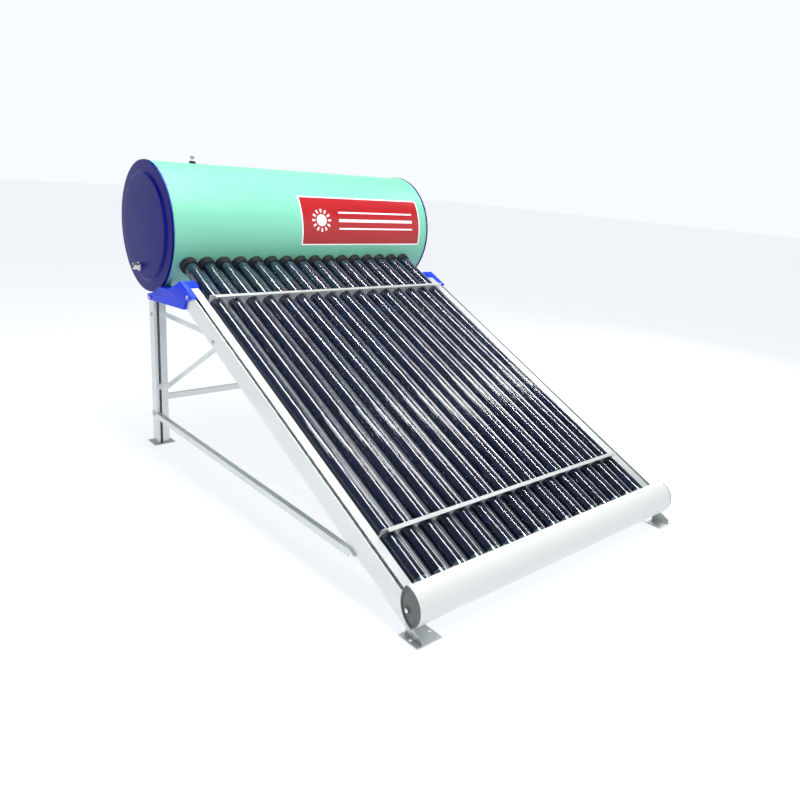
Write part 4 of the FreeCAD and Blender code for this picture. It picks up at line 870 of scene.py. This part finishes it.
cover_start, cover_stop = cover_angle(*COVER_TOP), cover_angle(*COVER_FOOT)
cover_section = bend(cover_centre, cover_radius, cover_start, cover_stop, 40)
cover_section += [(1.9375, -0.0615), (1.9375, -0.0602), (1.975, -0.0602)]
cover_section += bend(cover_centre, cover_radius - COVER_WALL, cover_stop + 2, cover_start, 40)
cover_section += bend((1.9005, 0.0322), 0.0022, 200, 330, 5)
cover_low, cover_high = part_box("tailstock_cover")
slope_section = Matrix((-UP, SQUARE, Vector((1, 0, 0)))).transposed().to_4x4()
cover_place = Matrix.Translation(Vector((cover_low.x, AXIS_Y, AXIS_Z))) @ slope_section
cover = extruded("tailstock_cover_sheet", cover_section, cover_high.x - cover_low.x, cover_place,
                 cover_aluminium, edge=0)
belongs(cover, "heater", "frame_aluminium", "tailstock_cover")
print("cover radius %.0f mm" % (cover_radius * 1000))

# %% [markdown]
# ## The tailstock's end plates
# A leaf-shaped plastic plate closes each end of the bar. It has a raised rim and a sunk face
# with a screw boss, so it is modelled as a plate with a rim loop standing on it.

# %% The leaf outline
LEAF_TOP, LEAF_FOOT = (1.896, 0.032), (1.977, -0.0625)
LEAF_FRONT, LEAF_BACK = (1.9685, 0.0165), (1.918, -0.042)


def leaf():
    """The leaf outline in (s, h), made of two arcs that meet at its tips."""
    points = []
    for through, start, end in ((LEAF_FRONT, LEAF_TOP, LEAF_FOOT), (LEAF_BACK, LEAF_FOOT, LEAF_TOP)):
        centre, radius = circle_through(start, through, end)
        first = math.degrees(math.atan2(start[1] - centre[1], start[0] - centre[0]))
        last = math.degrees(math.atan2(end[1] - centre[1], end[0] - centre[0]))
        sweep = (last - first + 180) % 360 - 180
        points += bend(centre, radius, first, first + sweep, 20)[:-1]
    return points


RIM_SHARE = 0.86
outline = leaf()
centroid = (sum(s for s, h in outline) / len(outline), sum(h for s, h in outline) / len(outline))
inner_outline = [(centroid[0] + (s - centroid[0]) * RIM_SHARE, centroid[1] + (h - centroid[1]) * RIM_SHARE)
                 for s, h in outline]
print("leaf outline points:", len(outline))

# %% End plates
PLATE_WALL = 0.002
RIM_HEIGHT = 0.0035
RIM_SINK = 0.0002
WELL_START = 0.01
BOSS_S, BOSS_H = 1.937, -0.027
BOSS_OUTLINE = [(-0.0001, 0.0085), (-0.0001, 0.0125), (0.0018, 0.0122), (0.0025, 0.0112), (0.0025, 0.0095),
                (0.0018, 0.0085)]


def across_from(x):
    """A matrix for an outline in (s, h) that is pushed across the frame from x."""
    return Matrix.Translation(Vector((x, AXIS_Y, AXIS_Z))) @ slope_section


for side, direction in (("left", -1), ("right", 1)):
    low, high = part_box("tailstock_end_" + side)
    plate_low = low.x if direction > 0 else high.x - PLATE_WALL
    plate = extruded("end_plate_" + side, outline, PLATE_WALL, across_from(plate_low), end_plate, edge=0.0004)
    belongs(plate, "heater", "end_plate_plastic", "tailstock_end_" + side)
    rim_low = plate_low + PLATE_WALL - RIM_SINK if direction > 0 else plate_low - RIM_HEIGHT + RIM_SINK
    rim = extruded("end_rim_" + side, outline, RIM_HEIGHT, across_from(rim_low), end_plate, edge=0.0009)
    apply_modifiers(rim)
    well = extruded("rim_well", inner_outline, RIM_HEIGHT + 2 * WELL_START, across_from(rim_low - WELL_START),
                    end_plate, edge=0)
    cut_holes(rim, [well])
    belongs(rim, "heater", "end_plate_plastic")
    boss_face = plate_low + PLATE_WALL if direction > 0 else plate_low
    boss_centre = down_slope(boss_face, BOSS_S, BOSS_H)
    boss_place = Matrix.Translation(boss_centre) @ Matrix.Rotation(direction * math.pi / 2, 4, "Y")
    boss = turned("end_boss_" + side, BOSS_OUTLINE, boss_place, end_plate, steps=48)
    belongs(boss, "heater", "end_plate_plastic")
    print(side, "end plate at x %.3f" % plate_low)
